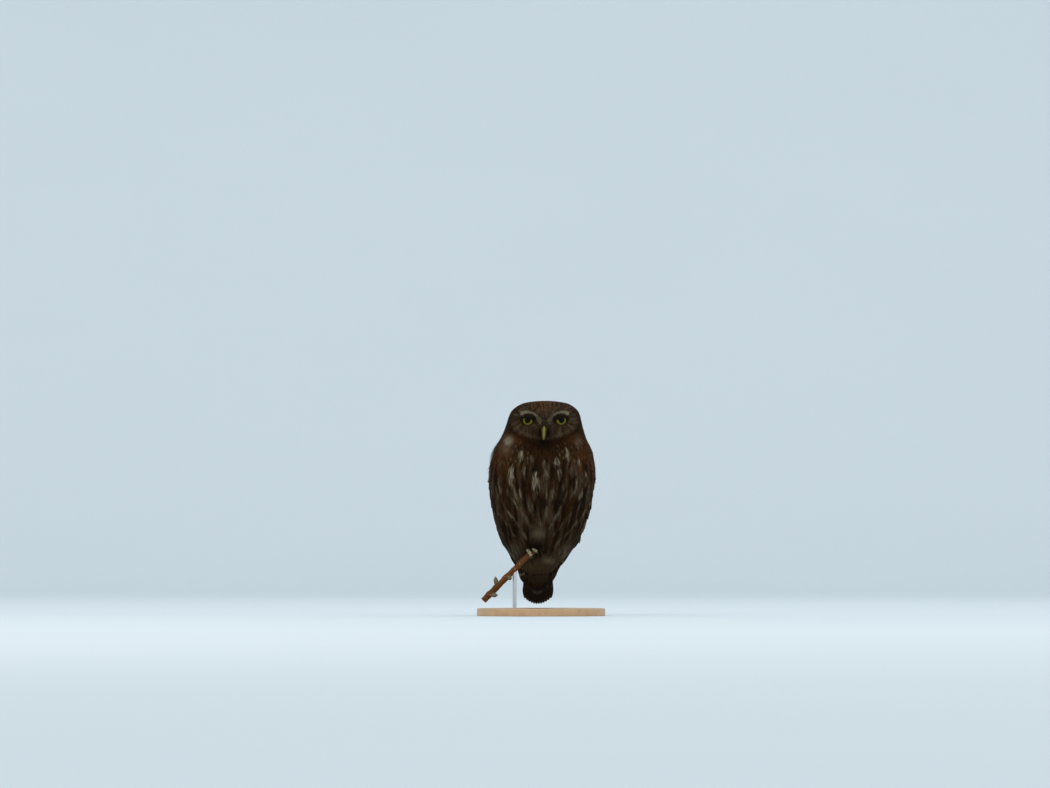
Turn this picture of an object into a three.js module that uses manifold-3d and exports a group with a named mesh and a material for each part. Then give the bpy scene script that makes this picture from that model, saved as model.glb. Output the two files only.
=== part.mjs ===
// A little owl perched upright on the cut tip of a twig, on a plain display stand.
// Millimetres, +Z up. The bird faces -Y, so its right side is at -X.
// The origin is at the middle of the stand's underside.
import * as THREE from "three";
import { mergeVertices } from "three/addons/utils/BufferGeometryUtils.js";
import Module from "manifold-3d";

const wasm = await Module();
wasm.setup();

const V = (x, y, z) => new THREE.Vector3(x, y, z);
const DEGREE = Math.PI / 180;

// Gap between neighbouring pieces
const GAP = 0.3;

// Stand
const BASE_RADIUS = 68;
const BASE_THICK = 8;
const BASE_CHAMFER = 1.2;
const ROD_RADIUS = 2;
const ROD_X = -28;
const TAIL_CLEARANCE = 4;

// Heights on the bird are counted from the tip of its tail, which hangs just over the base.
const TAIL_TIP_Z = BASE_THICK + TAIL_CLEARANCE;
const CROWN = 215.7;

// The outline of the resting bird with all its feathers, wings included:
// height over the tail tip, half width, front and back.
const OUTLINE = [
  [0, 14, 30, 45],
  [15, 16, 28, 45.4],
  [27, 18.2, 20, 45.6],
  [40, 21.5, 6, 46],
  [51, 29.5, -9, 46.5],
  [58, 35.2, -19, 47],
  [68.5, 41.8, -28.5, 47.6],
  [89.6, 49.3, -42, 48.6],
  [110.8, 54.4, -49.8, 48.2],
  [134, 57, -51.7, 45.6],
  [158.5, 53.6, -45, 40.4],
  [167, 50.2, -41.4, 37.6],
  [176, 45.4, -40.4, 34.6],
  [188, 41.1, -40.6, 30.2],
  [203, 36.4, -37, 22.2],
  [212.5, 24.8, -26, 10],
  [CROWN, 0, -8, -8],
];
const SECTION_POWER = 2.15;
// The bird leans a little towards +X as it goes up.
const LEAN = 0.043;
const LEAN_FROM = 112;

// Where the flesh is divided, as heights over the tail tip
const NECK_TOP = 170;
const NECK_FOOT = 157;
const VENT_END = 31;
const VENT_ROUND = 19;
const VENT_BACK = 29.3;
const VENT_BACK_FROM = 50;
const VENT_BACK_TO = 66;

// Head
const HEAD_COLUMNS = 38;
const HEAD_ROWS = 16;
const FACE_CLOSENESS = 0.5;
const EYE_X = 17;
const EYE_HEIGHT = 195.3;
// The eyeball, and how far its centre lies behind the face
const EYE_RADIUS = 8;
const EYE_DEPTH = 5.2;
const GAZE_OUT = 12 * DEGREE;
const LID_RING = 6.5;
const LID_THICK = 1.05;
const LID_SQUINT = 0.86;
const BROW_RADIUS = 10.5;
const BROW_RISE = 3.4;

// Wing: how deep it lies under the outline, the core that its vanes grow from, and its front edge,
// as height over the tail tip and angle round the bird from the breast
const WING_DEPTH = 6.4;
const WING_CORE_DEPTH = 4.5;
const WING_CORE_LOW = 57;
const ROOT_DEPTH = 5.3;
const SHOULDER_DEPTH = 0.3;
const WING_EDGE_MARGIN = 3 * DEGREE;
const WING_ROOM_MARGIN = 2.8 * DEGREE;
const WING_TOP = 156;
const WING_LOW = 12;
const WING_BACK = 175.5 * DEGREE;
const WING_EDGE = [
  [12, 146],
  [30, 124],
  [45, 102],
  [60, 84],
  [80, 72],
  [100, 66],
  [120, 63],
  [156, 66],
];
// Behind the tail the wing tips lie flat, with their middle this far back.
const WING_REAR = 40.5;
const VANE_THICK = 0.6;

// Tiers of vanes on a wing, from the lowest layer up. A tier runs from its front feather to its
// back one, with the angle and height of each feather's root and tip at both ends of the row.
const WING_TIERS = [
  {
    count: 5,
    half: [4.2, 4.6],
    roots: { from: [88, 76], to: [132, 62] },
    tips: { from: [105, 48], to: [160, 25], sag: 15 },
    bow: -3,
    depth: { lift: 4, tip: 3.6 },
    tilt: 1,
  },
  {
    count: 6,
    half: [5.6, 5.6],
    roots: { from: [84, 96], to: [160, 98] },
    tips: { from: [100, 63], to: [166, 46], sag: 1 },
    bow: -2,
    depth: { lift: 2.9, tip: 1.2 },
    tilt: 0.8,
  },
  {
    count: 7,
    half: [6.6, 6.6],
    roots: { from: [75, 110], to: [160, 115] },
    tips: { from: [83, 78], to: [163, 84], sag: 2 },
    bow: 0,
    depth: { lift: 2.8, tip: 0.9 },
    tilt: 0.7,
  },
  {
    count: 7,
    half: [6.6, 6.6],
    roots: { from: [73, 128], to: [158, 133] },
    tips: { from: [76, 99], to: [160, 106], sag: 2 },
    bow: 0,
    depth: { lift: 2.8, tip: 0.8 },
    tilt: 0.7,
  },
  {
    count: 6,
    half: [7.6, 7.4],
    roots: { from: [75, 147], to: [150, 150] },
    tips: { from: [76, 120], to: [152, 126], sag: 1 },
    bow: 0,
    depth: { lift: 2.8, tip: 0.7 },
    tilt: 0.7,
  },
  {
    count: 4,
    half: [8, 7.4],
    roots: { from: [160, 152], to: [164, 120] },
    tips: { from: [163, 124], to: [166, 76], sag: 0 },
    bow: 3,
    depth: { lift: 1.9, tip: 0 },
    tilt: 0.3,
  },
];

// Tail: the core that its vanes grow from, and the vanes' own sizes, the middle pair first
const TAIL_ROOT = 64;
const TAIL_CORE_HALF = 14;
const TAIL_CORE_DEEP = 4.2;
const TAIL_CORE_INSET = 2;
const TAIL_PAIRS = 5;
const TAIL_VANE_HALF = 4.1;
const TAIL_SPREAD = 11.6;
const TAIL_Y = 37.4;
const TAIL_STEP = 0.95;
const TAIL_VANE_TILT = 0.3;
const TAIL_ROUND = 6;
// The feathers under the tail's root, in front of the long ones
const COVERT_COUNT = 5;
const COVERT_HALF = 4.4;
const COVERT_SPREAD = 8.5;
const COVERT_ROOT_Y = 33.2;
const COVERT_Y = 31.4;
const COVERT_TIP = 19;
const COVERT_ARCH = 8;

// Twig
const TWIG_RADIUS = 3;
const TWIG_ROUTE = [
  V(-61, -15, 16),
  V(-46, -15.5, 31.5),
  V(-30, -15, 47),
  V(-17, -14, 60.5),
  V(-6, -12.5, 69.5),
  V(7, -10.5, 74),
  V(19, -8, 75.5),
];
const BUDS = [
  { x: -47, side: 1, turn: 20, length: 9.5 },
  { x: -55, side: -1, turn: 35, length: 8.5 },
  { x: -37, side: -1, turn: -40, length: 5 },
];

// Legs and feet: the twig's x where each foot holds it, and the hip
const RIGHT_FOOT_X = -9.5;
const LEFT_FOOT_X = 10.5;
const HIP_X = 19;
const HIP_Y = -2;
const HIP_HEIGHT = 84;
const TOE_RADIUS = 2;
const TOE_REACH = 112 * DEGREE;
const TOE_SPREAD = 3.1;
const CLAW_REACH = 52 * DEGREE;
const CLAW_RADIUS = 1.15;

// Colours of the plain materials
const material = (color, roughness = 0.85, metalness = 0) =>
  new THREE.MeshStandardMaterial({ color, roughness, metalness });
const PLUMAGE = material("#4a3a2c");
const PALE_PLUMAGE = material("#8a7f69");
const FLIGHT = material("#3a2d22", 0.7);
const IRIS = material("#c9b321", 0.15);
const HORN_YELLOW = material("#a89a4a", 0.4);
const TOE_SKIN = material("#8f8567", 0.8);
const CLAW_BLACK = material("#1d1a18", 0.35);
const BARK = material("#8a5a3a", 0.8);
const TURNED_WOOD = material("#b89b78", 0.55);
const STEEL = material("#b9bcc0", 0.35, 1);

// A smooth curve through points that rise and fall only where they do
function monotoneCurve(points) {
  const slopes = points
    .slice(1)
    .map(([x, y], i) => (y - points[i][1]) / (x - points[i][0]));
  const tangents = points.map((_, i) => {
    if (i === 0) return slopes[0];
    if (i === points.length - 1) return slopes[i - 1];
    const [before, after] = [slopes[i - 1], slopes[i]];
    return before * after <= 0 ? 0 : (2 * before * after) / (before + after);
  });
  return (x) => {
    let i = points.findIndex(([px]) => px > x) - 1;
    if (i < 0) i = x < points[0][0] ? 0 : points.length - 2;
    const [[x0, y0], [x1, y1]] = [points[i], points[i + 1]];
    const span = x1 - x0;
    const t = THREE.MathUtils.clamp((x - x0) / span, 0, 1);
    const u = 1 - t;
    return (
      y0 * (1 + 2 * t) * u * u +
      y1 * (3 - 2 * t) * t * t +
      span * (tangents[i] * t * u * u - tangents[i + 1] * u * t * t)
    );
  };
}

// Squares of the half sizes are joined, so that the crown closes round.
const halfWidthSquare = monotoneCurve(OUTLINE.map(([h, half]) => [h, half ** 2]));
const halfDepthSquare = monotoneCurve(
  OUTLINE.map(([h, , front, back]) => [h, ((back - front) / 2) ** 2]),
);
const middleY = monotoneCurve(
  OUTLINE.map(([h, , front, back]) => [h, (front + back) / 2]),
);
const wingEdge = monotoneCurve(WING_EDGE.map(([h, degrees]) => [h, degrees * DEGREE]));
const leanAt = (height) => LEAN * (height - LEAN_FROM);
const rounded = (t) => Math.sign(t) * Math.abs(t) ** (2 / SECTION_POWER);
const smooth = THREE.MathUtils.smoothstep;
const mix = THREE.MathUtils.lerp;

// A point of the feathered outline. The angle runs from the breast round to the back.
function outline(angle, height) {
  const half = Math.sqrt(Math.max(0, halfWidthSquare(height)));
  const depth = Math.sqrt(Math.max(0, halfDepthSquare(height)));
  return V(
    leanAt(height) + half * rounded(Math.sin(angle)),
    middleY(height) - depth * rounded(Math.cos(angle)),
    TAIL_TIP_Z + height,
  );
}

function outlineNormal(angle, height) {
  const turn = 0.02;
  const rise = 0.4;
  const around = outline(angle + turn, height).sub(outline(angle - turn, height));
  const up = outline(angle, height + rise).sub(outline(angle, height - rise));
  return around.cross(up).normalize();
}

// Geometry of a closed body, with its faces turned outwards
function facingOut(points, faces) {
  const volume = faces.reduce(
    (sum, [a, b, c]) => sum + points[a].dot(V(0, 0, 0).crossVectors(points[b], points[c])),
    0,
  );
  const indices = volume < 0 ? faces.map(([a, b, c]) => [a, c, b]) : faces;
  return new THREE.BufferGeometry().setFromPoints(points).setIndex(indices.flat());
}

// A closed body through rings of equal count
function closed(rings, { start, end } = {}) {
  const count = rings[0].length;
  const middle = (ring) =>
    ring.reduce((sum, p) => sum.add(p), V(0, 0, 0)).divideScalar(count);
  const points = [...rings.flat(), start ?? middle(rings[0]), end ?? middle(rings.at(-1))];
  const first = points.length - 2;
  const last = points.length - 1;
  const faces = [];
  for (let k = 0; k < count; k++) {
    const next = (k + 1) % count;
    for (let r = 0; r + 1 < rings.length; r++) {
      const [a, b] = [r * count + k, r * count + next];
      faces.push([a, b, b + count], [a, b + count, a + count]);
    }
    const top = (rings.length - 1) * count;
    faces.push([first, next, k], [last, top + k, top + next]);
  }
  return facingOut(points, faces);
}

// A closed plate between two grids of points, split into triangles alike on both faces
function slab(over, under) {
  const rows = over.length;
  const columns = over[0].length;
  const points = [...over.flat(), ...under.flat()];
  const at = (r, c) => r * columns + c;
  const below = rows * columns;
  const faces = [];
  for (let r = 0; r + 1 < rows; r++) {
    for (let c = 0; c + 1 < columns; c++) {
      const [p, q, u, v] = [at(r, c), at(r, c + 1), at(r + 1, c + 1), at(r + 1, c)];
      faces.push([p, q, u], [p, u, v]);
      faces.push([below + q, below + p, below + u], [below + u, below + p, below + v]);
    }
  }
  const steps = (count) => [...Array(count - 1).keys()];
  const rim = [
    ...steps(columns).map((c) => [at(0, c + 1), at(0, c)]),
    ...steps(rows).map((r) => [at(r, 0), at(r + 1, 0)]),
    ...steps(columns).map((c) => [at(rows - 1, c), at(rows - 1, c + 1)]),
    ...steps(rows).map((r) => [at(r + 1, columns - 1), at(r, columns - 1)]),
  ];
  for (const [p, q] of rim) faces.push([p, q, below + q], [p, below + q, below + p]);
  return facingOut(points, faces);
}

function solid(geometry) {
  const bare = geometry.clone();
  bare.deleteAttribute("normal");
  bare.deleteAttribute("uv");
  const merged = mergeVertices(bare, 1e-4);
  return new wasm.Manifold(
    new wasm.Mesh({
      numProp: 3,
      vertProperties: new Float32Array(merged.attributes.position.array),
      triVerts: new Uint32Array(merged.index.array),
    }),
  );
}

const join = (solids) => solids.reduce((whole, s) => whole.add(s));

// The largest closed surface of a solid, as geometry
function geometryOf(whole) {
  const pieces = whole.decompose().sort((a, b) => b.volume() - a.volume());
  const mesh = pieces[0].getMesh();
  const geometry = new THREE.BufferGeometry()
    .setAttribute("position", new THREE.BufferAttribute(mesh.vertProperties, 3))
    .setIndex(new THREE.BufferAttribute(mesh.triVerts, 1));
  geometry.computeVertexNormals();
  return geometry;
}

const owl = new THREE.Group();

function node(name, whole, finish) {
  const mesh = new THREE.Mesh(geometryOf(whole), finish);
  mesh.name = name;
  owl.add(mesh);
}

// Evenly spaced numbers from one end to the other, both included
const spaced = (from, to, count) =>
  Array.from({ length: count + 1 }, (_, i) => mix(from, to, i / count));

// Angles right round the bird, closer together on its face and breast
const around = (count, closeness) =>
  Array.from({ length: count }, (_, i) => {
    const turn = (2 * Math.PI * i) / count;
    return turn - closeness * Math.sin(turn);
  });

// A round tube along a curve, with a radius that may change on the way
function tube(curve, radiusAt, { sides = 10, steps = 18, grow = 0 } = {}) {
  const rings = spaced(0, 1, steps).map((t) => {
    const { at, forward, up } = frameOn(curve, t);
    const radius = radiusAt(t) + grow;
    return Array.from({ length: sides }, (_, k) => {
      const turn = (2 * Math.PI * k) / sides;
      return at
        .clone()
        .addScaledVector(forward, radius * Math.cos(turn))
        .addScaledVector(up, radius * Math.sin(turn));
    });
  });
  return closed(rings);
}

// A place on a curve with the directions along it, towards the viewer and upwards
function frameOn(curve, t) {
  const at = curve.getPoint(t);
  const along = curve.getTangent(t);
  const forward = V(0, -1, 0);
  forward.addScaledVector(along, -forward.dot(along)).normalize();
  const up = V(0, 0, 0).crossVectors(forward, along).normalize();
  return { at, along, forward, up };
}

// Head

// How far the face stands out of the plain outline, by place on the face
function faceRelief(x, height) {
  const out = Math.abs(x) - EYE_X;
  const rise = height - EYE_HEIGHT;
  const fromEye = Math.hypot(out, rise);
  const bell = (distance, width) => Math.exp(-((distance / width) ** 2));
  const aboveEye = smooth(rise, -1, 5) * (1 - smooth(out, 8, 15));
  const socket = -3.6 * bell(fromEye, 8.5);
  const brow = BROW_RISE * bell(fromEye - BROW_RADIUS, 3.2) * aboveEye;
  const bridge = 3 * bell(x, 5) * smooth(height, 178, 188) * (1 - smooth(height, 197, 209));
  const rim = Math.hypot(x / 37, (height - 193) / 20);
  const disc = 1.3 * bell(rim - 1, 0.14) * (1 - smooth(height, 192, 202));
  const dish = -1.4 * Math.max(0, 1 - rim * rim);
  return socket + brow + bridge + disc + dish;
}

function facePoint(angle, height) {
  const point = outline(angle, height);
  const normal = outlineNormal(angle, height);
  const facing = smooth(-normal.y, 0.1, 0.6);
  const relief = faceRelief(point.x - leanAt(height), height);
  return point.addScaledVector(normal, facing * relief);
}

// The centre of an eye: side is 1 on the bird's left and -1 on its right.
function eyeCentre(side) {
  const angle = Math.asin((side * EYE_X) / Math.sqrt(halfWidthSquare(EYE_HEIGHT)));
  return facePoint(angle, EYE_HEIGHT).add(V(0, EYE_DEPTH, 0));
}

const gaze = (side) => V(side * Math.sin(GAZE_OUT), -Math.cos(GAZE_OUT), 0);

function eyeball(side, grow = 0) {
  const ball = new THREE.SphereGeometry(EYE_RADIUS + grow, 16, 10);
  const centre = eyeCentre(side);
  return solid(ball.translate(centre.x, centre.y, centre.z));
}

function lid(side) {
  const ring = new THREE.TorusGeometry(LID_RING, LID_THICK, 6, 18);
  ring.scale(1, LID_SQUINT, 1);
  const place = new THREE.Matrix4().lookAt(gaze(side), V(0, 0, 0), V(0, 0, 1));
  ring.applyMatrix4(place);
  const at = eyeCentre(side).addScaledVector(gaze(side), EYE_DEPTH).add(V(0, 0, -0.4));
  return solid(ring.translate(at.x, at.y, at.z));
}

// A bill half: oval sections along a bent line in the bird's middle plane
function horn(line, { sides = 10, grow = 0 } = {}) {
  const curve = new THREE.CatmullRomCurve3(
    line.map(({ y, height }) => V(leanAt(height), y, TAIL_TIP_Z + height)),
  );
  const halfWide = monotoneCurve(line.map(({ wide }, i) => [i, wide]));
  const halfTall = monotoneCurve(line.map(({ tall }, i) => [i, tall]));
  const last = line.length - 1;
  const rings = spaced(0, 1, 2 * last).map((t) => {
    const at = curve.getPoint(t);
    const along = curve.getTangent(t);
    const upward = V(1, 0, 0).cross(along).normalize();
    return Array.from({ length: sides }, (_, k) => {
      const turn = (2 * Math.PI * k) / sides;
      return at
        .clone()
        .add(V((halfWide(t * last) + grow) * Math.cos(turn), 0, 0))
        .addScaledVector(upward, (halfTall(t * last) + grow) * Math.sin(turn));
    });
  });
  return closed(rings);
}

const UPPER_BILL = [
  { y: -33, height: 189.5, wide: 4.3, tall: 4 },
  { y: -40, height: 188.5, wide: 4.2, tall: 4 },
  { y: -44.6, height: 184.6, wide: 3.5, tall: 3.3 },
  { y: -46.3, height: 179.4, wide: 2.2, tall: 2 },
  { y: -45.2, height: 174.6, wide: 0.5, tall: 0.5 },
];
const LOWER_BILL = [
  { y: -33, height: 182.5, wide: 3.2, tall: 2 },
  { y: -39, height: 181.4, wide: 3, tall: 2 },
  { y: -43, height: 178.6, wide: 1.6, tall: 1.2 },
];
const NOSTRIL_RADIUS = 0.9;

function upperBill() {
  const nostril = (side) =>
    solid(
      new THREE.SphereGeometry(NOSTRIL_RADIUS, 8, 6).translate(
        leanAt(188) + side * 3.2,
        -43.4,
        TAIL_TIP_Z + 187.6,
      ),
    );
  return solid(horn(UPPER_BILL)).subtract(nostril(1)).subtract(nostril(-1));
}

const lowerBill = () =>
  solid(horn(LOWER_BILL)).subtract(solid(horn(UPPER_BILL, { grow: GAP })));

function head() {
  const heights = Array.from({ length: HEAD_ROWS }, (_, i) =>
    mix(NECK_TOP + GAP / 2, CROWN, 1 - (1 - i / HEAD_ROWS) ** 2),
  );
  const angles = around(HEAD_COLUMNS, FACE_CLOSENESS);
  const rings = heights.map((h) => angles.map((angle) => facePoint(angle, h)));
  let whole = solid(closed(rings, { end: outline(0, CROWN) }));
  for (const side of [1, -1]) whole = whole.add(lid(side));
  for (const side of [1, -1]) whole = whole.subtract(eyeball(side, GAP));
  return whole
    .subtract(solid(horn(UPPER_BILL, { grow: GAP })))
    .subtract(solid(horn(LOWER_BILL, { grow: GAP })));
}

// Neck and torso

function neck() {
  const heights = spaced(NECK_FOOT + GAP / 2, NECK_TOP - GAP / 2, 3);
  const angles = around(HEAD_COLUMNS, FACE_CLOSENESS);
  return solid(closed(heights.map((h) => angles.map((angle) => facePoint(angle, h)))));
}

function torsoPoint(angle, height) {
  const point = outline(angle, height);
  const low = 1 - smooth(height, VENT_BACK_FROM, VENT_BACK_TO);
  const back = mix(middleY(height) + Math.sqrt(halfDepthSquare(height)), VENT_BACK, low);
  const front = middleY(height) - Math.sqrt(halfDepthSquare(height));
  const full = middleY(height) + Math.sqrt(halfDepthSquare(height)) - front;
  point.y = front + ((point.y - front) * (back - front)) / full;
  const end = Math.max(0, VENT_END + VENT_ROUND - height) / VENT_ROUND;
  const narrowing = (1 - end ** 2.5) ** (1 / 2.5);
  const middle = (front + back) / 2;
  point.x = leanAt(height) + (point.x - leanAt(height)) * narrowing;
  point.y = middle + (point.y - middle) * narrowing;
  return point;
}

function torso() {
  const angles = around(32, 0.1);
  const low = [0.5, 2, 5, 10, 17].map((rise) => VENT_END + rise);
  const heights = [...low, ...spaced(56, NECK_FOOT - GAP / 2, 12)];
  const rings = heights.map((h) => angles.map((angle) => torsoPoint(angle, h)));
  const start = torsoPoint(0, VENT_END + 0.01);
  let whole = solid(closed(rings, { start }));
  whole = whole.subtract(footRoom()).subtract(tailCore(GAP));
  for (const side of [1, -1]) {
    whole = whole.subtract(leg(side, GAP)).subtract(wingRoom(side));
  }
  return whole;
}

// Wings

// The surface that the folded wing follows: the outline, flattened behind the tail
function wingSurface(angle, height) {
  const rear = middleY(height) + Math.sqrt(halfDepthSquare(height));
  const middle = mix(WING_REAR, middleY(height), smooth(height, 25, 82));
  const half = Math.sqrt(halfWidthSquare(height));
  return V(
    leanAt(height) + half * rounded(Math.sin(angle)),
    middle - (rear - middle) * rounded(Math.cos(angle)),
    TAIL_TIP_Z + height,
  );
}

// A point under the wing's surface. Side is 1 on the bird's left and -1 on its right.
function wingPoint(side, angle, height, depth) {
  const at = (a, h) => wingSurface(side * a, h);
  const across = at(angle + 0.02, height).sub(at(angle - 0.02, height));
  const up = at(angle, height + 0.4).sub(at(angle, height - 0.4));
  const out = across.cross(up).normalize().multiplyScalar(side);
  const flat = 1 - smooth(height, 30, 78);
  const direction = out.lerp(V(0, 1, 0), flat).normalize();
  return at(angle, height).addScaledVector(direction, -depth);
}

// A plate under the wing's surface, at a list of heights, with a depth over it and one under it
function wingPlate(side, heights, anglesAt, outerAt, inner) {
  const grid = (depthAt) =>
    heights.map((h) =>
      anglesAt(h).map((angle) => wingPoint(side, angle, h, depthAt(angle, h))),
    );
  return solid(slab(grid(outerAt), grid(() => inner)));
}

const wingRows = spaced(WING_LOW, WING_TOP, 12);
const wingAngles = (h) => spaced(wingEdge(h), WING_BACK, 7);

// The room that the folded wing takes in the torso, with the gap round it
function wingRoom(side) {
  const heights = [...wingRows.slice(0, -1), WING_TOP + GAP];
  const angles = (h) => [
    wingEdge(h) - WING_ROOM_MARGIN,
    ...wingAngles(h).slice(1, -1),
    Math.PI + WING_ROOM_MARGIN,
  ];
  return wingPlate(side, heights, angles, () => -WING_DEPTH, WING_DEPTH);
}

// Half the width of a feather as a share of its full half width, from root to tip. Its root dips
// into what it grows from before the second of these places.
const VANE_SHAPE = [
  [0, 0.6],
  [0.12, 0.75],
  [0.5, 1],
  [0.84, 0.84],
  [1, 0.34],
];

// A vane through a row of places: place(t, across, depth) gives a point
function vane(half, place, depthAt) {
  const grid = (under) =>
    VANE_SHAPE.map(([t, width]) =>
      [-1, 1].map((u) => place(t, u * width * half, depthAt(t, u * width) + under)),
    );
  return solid(slab(grid(0), grid(VANE_THICK)));
}

function wingVane(side, { root, tip, bow, half, depth, tilt }) {
  const line = (t) => [
    mix(root[0], tip[0], t) + bow * 4 * t * (1 - t),
    mix(root[1], tip[1], t),
  ];
  const place = (t, across, deep) => {
    const [degrees, height] = line(t);
    const [before, after] = [line(t - 0.02), line(t + 0.02)];
    const angle = degrees * DEGREE;
    const here = (a, h) => wingSurface(side * a, h);
    const perTurn = here(angle + 0.01, height).distanceTo(here(angle - 0.01, height)) / 0.02;
    const forward = (after[0] - before[0]) * DEGREE * perTurn;
    const rise = after[1] - before[1];
    const length = Math.hypot(forward, rise);
    const level = height + (across * forward) / length;
    const reach = angle - (across * rise) / length / perTurn;
    const turned = Math.max(reach, wingEdge(level) + WING_EDGE_MARGIN);
    return wingPoint(side, turned, level, deep);
  };
  const depthAt = (t, u) => (t === 0 ? ROOT_DEPTH : mix(depth.lift, depth.tip, t) + tilt * u);
  return vane(half, place, depthAt);
}

function wingTier(side, { count, half, roots, tips, ...tier }) {
  return spaced(0, 1, count - 1).map((share) => {
    const between = ({ from, to, sag = 0 }) => [
      mix(from[0], to[0], share),
      mix(from[1], to[1], share) - sag * 4 * share * (1 - share),
    ];
    return wingVane(side, {
      ...tier,
      root: between(roots),
      tip: between(tips),
      half: mix(half[0], half[1], share),
    });
  });
}

// The core comes up to the outline along the wing's front edge and at the shoulder.
function wingCoreDepth(angle, height) {
  const fromFront = smooth(angle - wingEdge(height), 0, 9 * DEGREE);
  const fromTop = 1 - smooth(height, 138, 151);
  return mix(SHOULDER_DEPTH, WING_CORE_DEPTH, Math.min(fromFront, fromTop));
}

function wing(side) {
  const heights = wingRows.filter((h) => h > WING_CORE_LOW);
  const core = wingPlate(side, heights, wingAngles, wingCoreDepth, WING_DEPTH - GAP);
  const vanes = WING_TIERS.flatMap((tier) => wingTier(side, tier));
  return join([core, ...vanes]);
}

// Tail

const tailY = (height) => mix(TAIL_Y, TAIL_Y - 1.6, height / TAIL_ROOT);

// The block that the tail feathers grow from
function tailCore(grow = 0) {
  const heights = spaced(48, TAIL_ROOT + grow, 3);
  const rings = heights.map((h) =>
    around(16, 0).map((angle) => {
      const narrowing = mix(1, 0.8, smooth(h, 50, TAIL_ROOT));
      return V(
        leanAt(h) + (TAIL_CORE_HALF * narrowing + grow) * Math.sin(angle),
        tailY(h) - TAIL_CORE_INSET - (TAIL_CORE_DEEP * narrowing + grow) * Math.cos(angle),
        TAIL_TIP_Z + h,
      );
    }),
  );
  return solid(closed(rings));
}

// A tail feather: order counts from the middle, and the left one of the middle pair lies on top.
function tailVane(side, order) {
  const spread = ((order + 0.5) / (TAIL_PAIRS - 0.5)) * TAIL_SPREAD;
  const tip = TAIL_ROUND * ((order + 0.5) / TAIL_PAIRS) ** 2;
  const place = (t, across, depth) => {
    const height = mix(TAIL_ROOT - 9, tip, t);
    const x = side * spread * mix(0.55, 1, t) + across;
    return V(leanAt(height) + x, tailY(height) - depth, TAIL_TIP_Z + height);
  };
  const layer = TAIL_STEP * (order + (side > 0 ? 0 : 0.5));
  const depthAt = (t, u) => (t === 0 ? TAIL_CORE_INSET : layer - side * TAIL_VANE_TILT * u);
  return vane(TAIL_VANE_HALF, place, depthAt);
}

// A feather under the tail's root. Its order runs from -1 on the bird's right to 1 on its left.
function tailCovert(order) {
  const tip = COVERT_TIP + COVERT_ARCH * order ** 2;
  const place = (t, across, depth) => {
    const height = mix(TAIL_ROOT - 12, tip, t);
    const x = order * COVERT_SPREAD * mix(0.8, 1, t) + across;
    const y = mix(COVERT_ROOT_Y, COVERT_Y, Math.min(1, 1.6 * t)) - depth;
    return V(leanAt(height) + x, y, TAIL_TIP_Z + height);
  };
  const depthAt = (t, u) => 0.55 * u - 0.3 * (1 - order ** 2);
  return vane(COVERT_HALF, place, depthAt);
}

function tail() {
  const orders = [...Array(TAIL_PAIRS).keys()];
  const vanes = [1, -1].flatMap((side) => orders.map((order) => tailVane(side, order)));
  const coverts = spaced(-1, 1, COVERT_COUNT - 1).map(tailCovert);
  return join([tailCore(), ...vanes, ...coverts]);
}

// Twig

const twigLine = new THREE.CatmullRomCurve3(TWIG_ROUTE);
const twigRadius = (t) => TWIG_RADIUS * (1.05 - 0.16 * t);

// The place along the twig with a given x
function twigAt(x) {
  let [low, high] = [0, 1];
  while (high - low > 1e-5) {
    const middle = (low + high) / 2;
    if (twigLine.getPoint(middle).x < x) low = middle;
    else high = middle;
  }
  return low;
}

function bud({ x, side, turn, length }) {
  const t = twigAt(x);
  const { at, along, forward, up } = frameOn(twigLine, t);
  const lean = turn * DEGREE;
  const away = up
    .clone()
    .multiplyScalar(side * Math.cos(lean))
    .addScaledVector(forward, Math.abs(Math.sin(lean)));
  const direction = away.addScaledVector(along, 0.75).normalize();
  const profile = [
    [0, -1.5],
    [1.5, -1.5],
    [1.7, 0.15 * length],
    [2.2, 0.45 * length],
    [1.6, 0.75 * length],
    [0, length],
  ].map(([r, y]) => new THREE.Vector2(r, y));
  const shape = new THREE.LatheGeometry(profile, 8);
  shape.applyQuaternion(new THREE.Quaternion().setFromUnitVectors(V(0, 1, 0), direction));
  const root = at.addScaledVector(direction, twigRadius(t) - 0.8);
  return solid(shape.translate(root.x, root.y, root.z));
}

function twig() {
  return join([solid(tube(twigLine, twigRadius)), ...BUDS.map(bud)]);
}

// Legs, feet and claws

// Room under the belly for the twig and the feet on it: a channel open below
function footRoom() {
  const rings = spaced(twigAt(-31), 1, 8).map((t, i) => {
    const { at, forward, up } = frameOn(twigLine, t);
    const past = i === 8 ? 6 : 0;
    const corners = [
      [9, 5],
      [6, 11],
      [-6, 11],
      [-9, 5],
    ].map(([out, rise]) => at.clone().addScaledVector(forward, out).addScaledVector(up, rise));
    corners.push(V(at.x, at.y + 9, at.z - 26), V(at.x, at.y - 15, at.z - 26));
    return corners.map((corner) => corner.add(V(past, 0, 0)));
  });
  return solid(closed(rings));
}

const footX = (side) => (side > 0 ? LEFT_FOOT_X : RIGHT_FOOT_X);

// The leg's line: hip, knee in the belly feathers, and ankle over the twig
function legLine(side) {
  const { at, up } = frameOn(twigLine, twigAt(footX(side)));
  const ankle = at.clone().addScaledVector(up, TWIG_RADIUS + 6.2);
  const hip = V(side * HIP_X, HIP_Y, TAIL_TIP_Z + HIP_HEIGHT);
  return new THREE.CatmullRomCurve3([
    ankle,
    ankle.clone().lerp(hip, 0.45).add(V(0, -1.5, 0)),
    hip,
  ]);
}

function leg(side, grow = 0) {
  return solid(
    tube(legLine(side), (t) => mix(3.4, 8, t), { sides: 10, steps: 5, grow }),
  );
}

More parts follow.
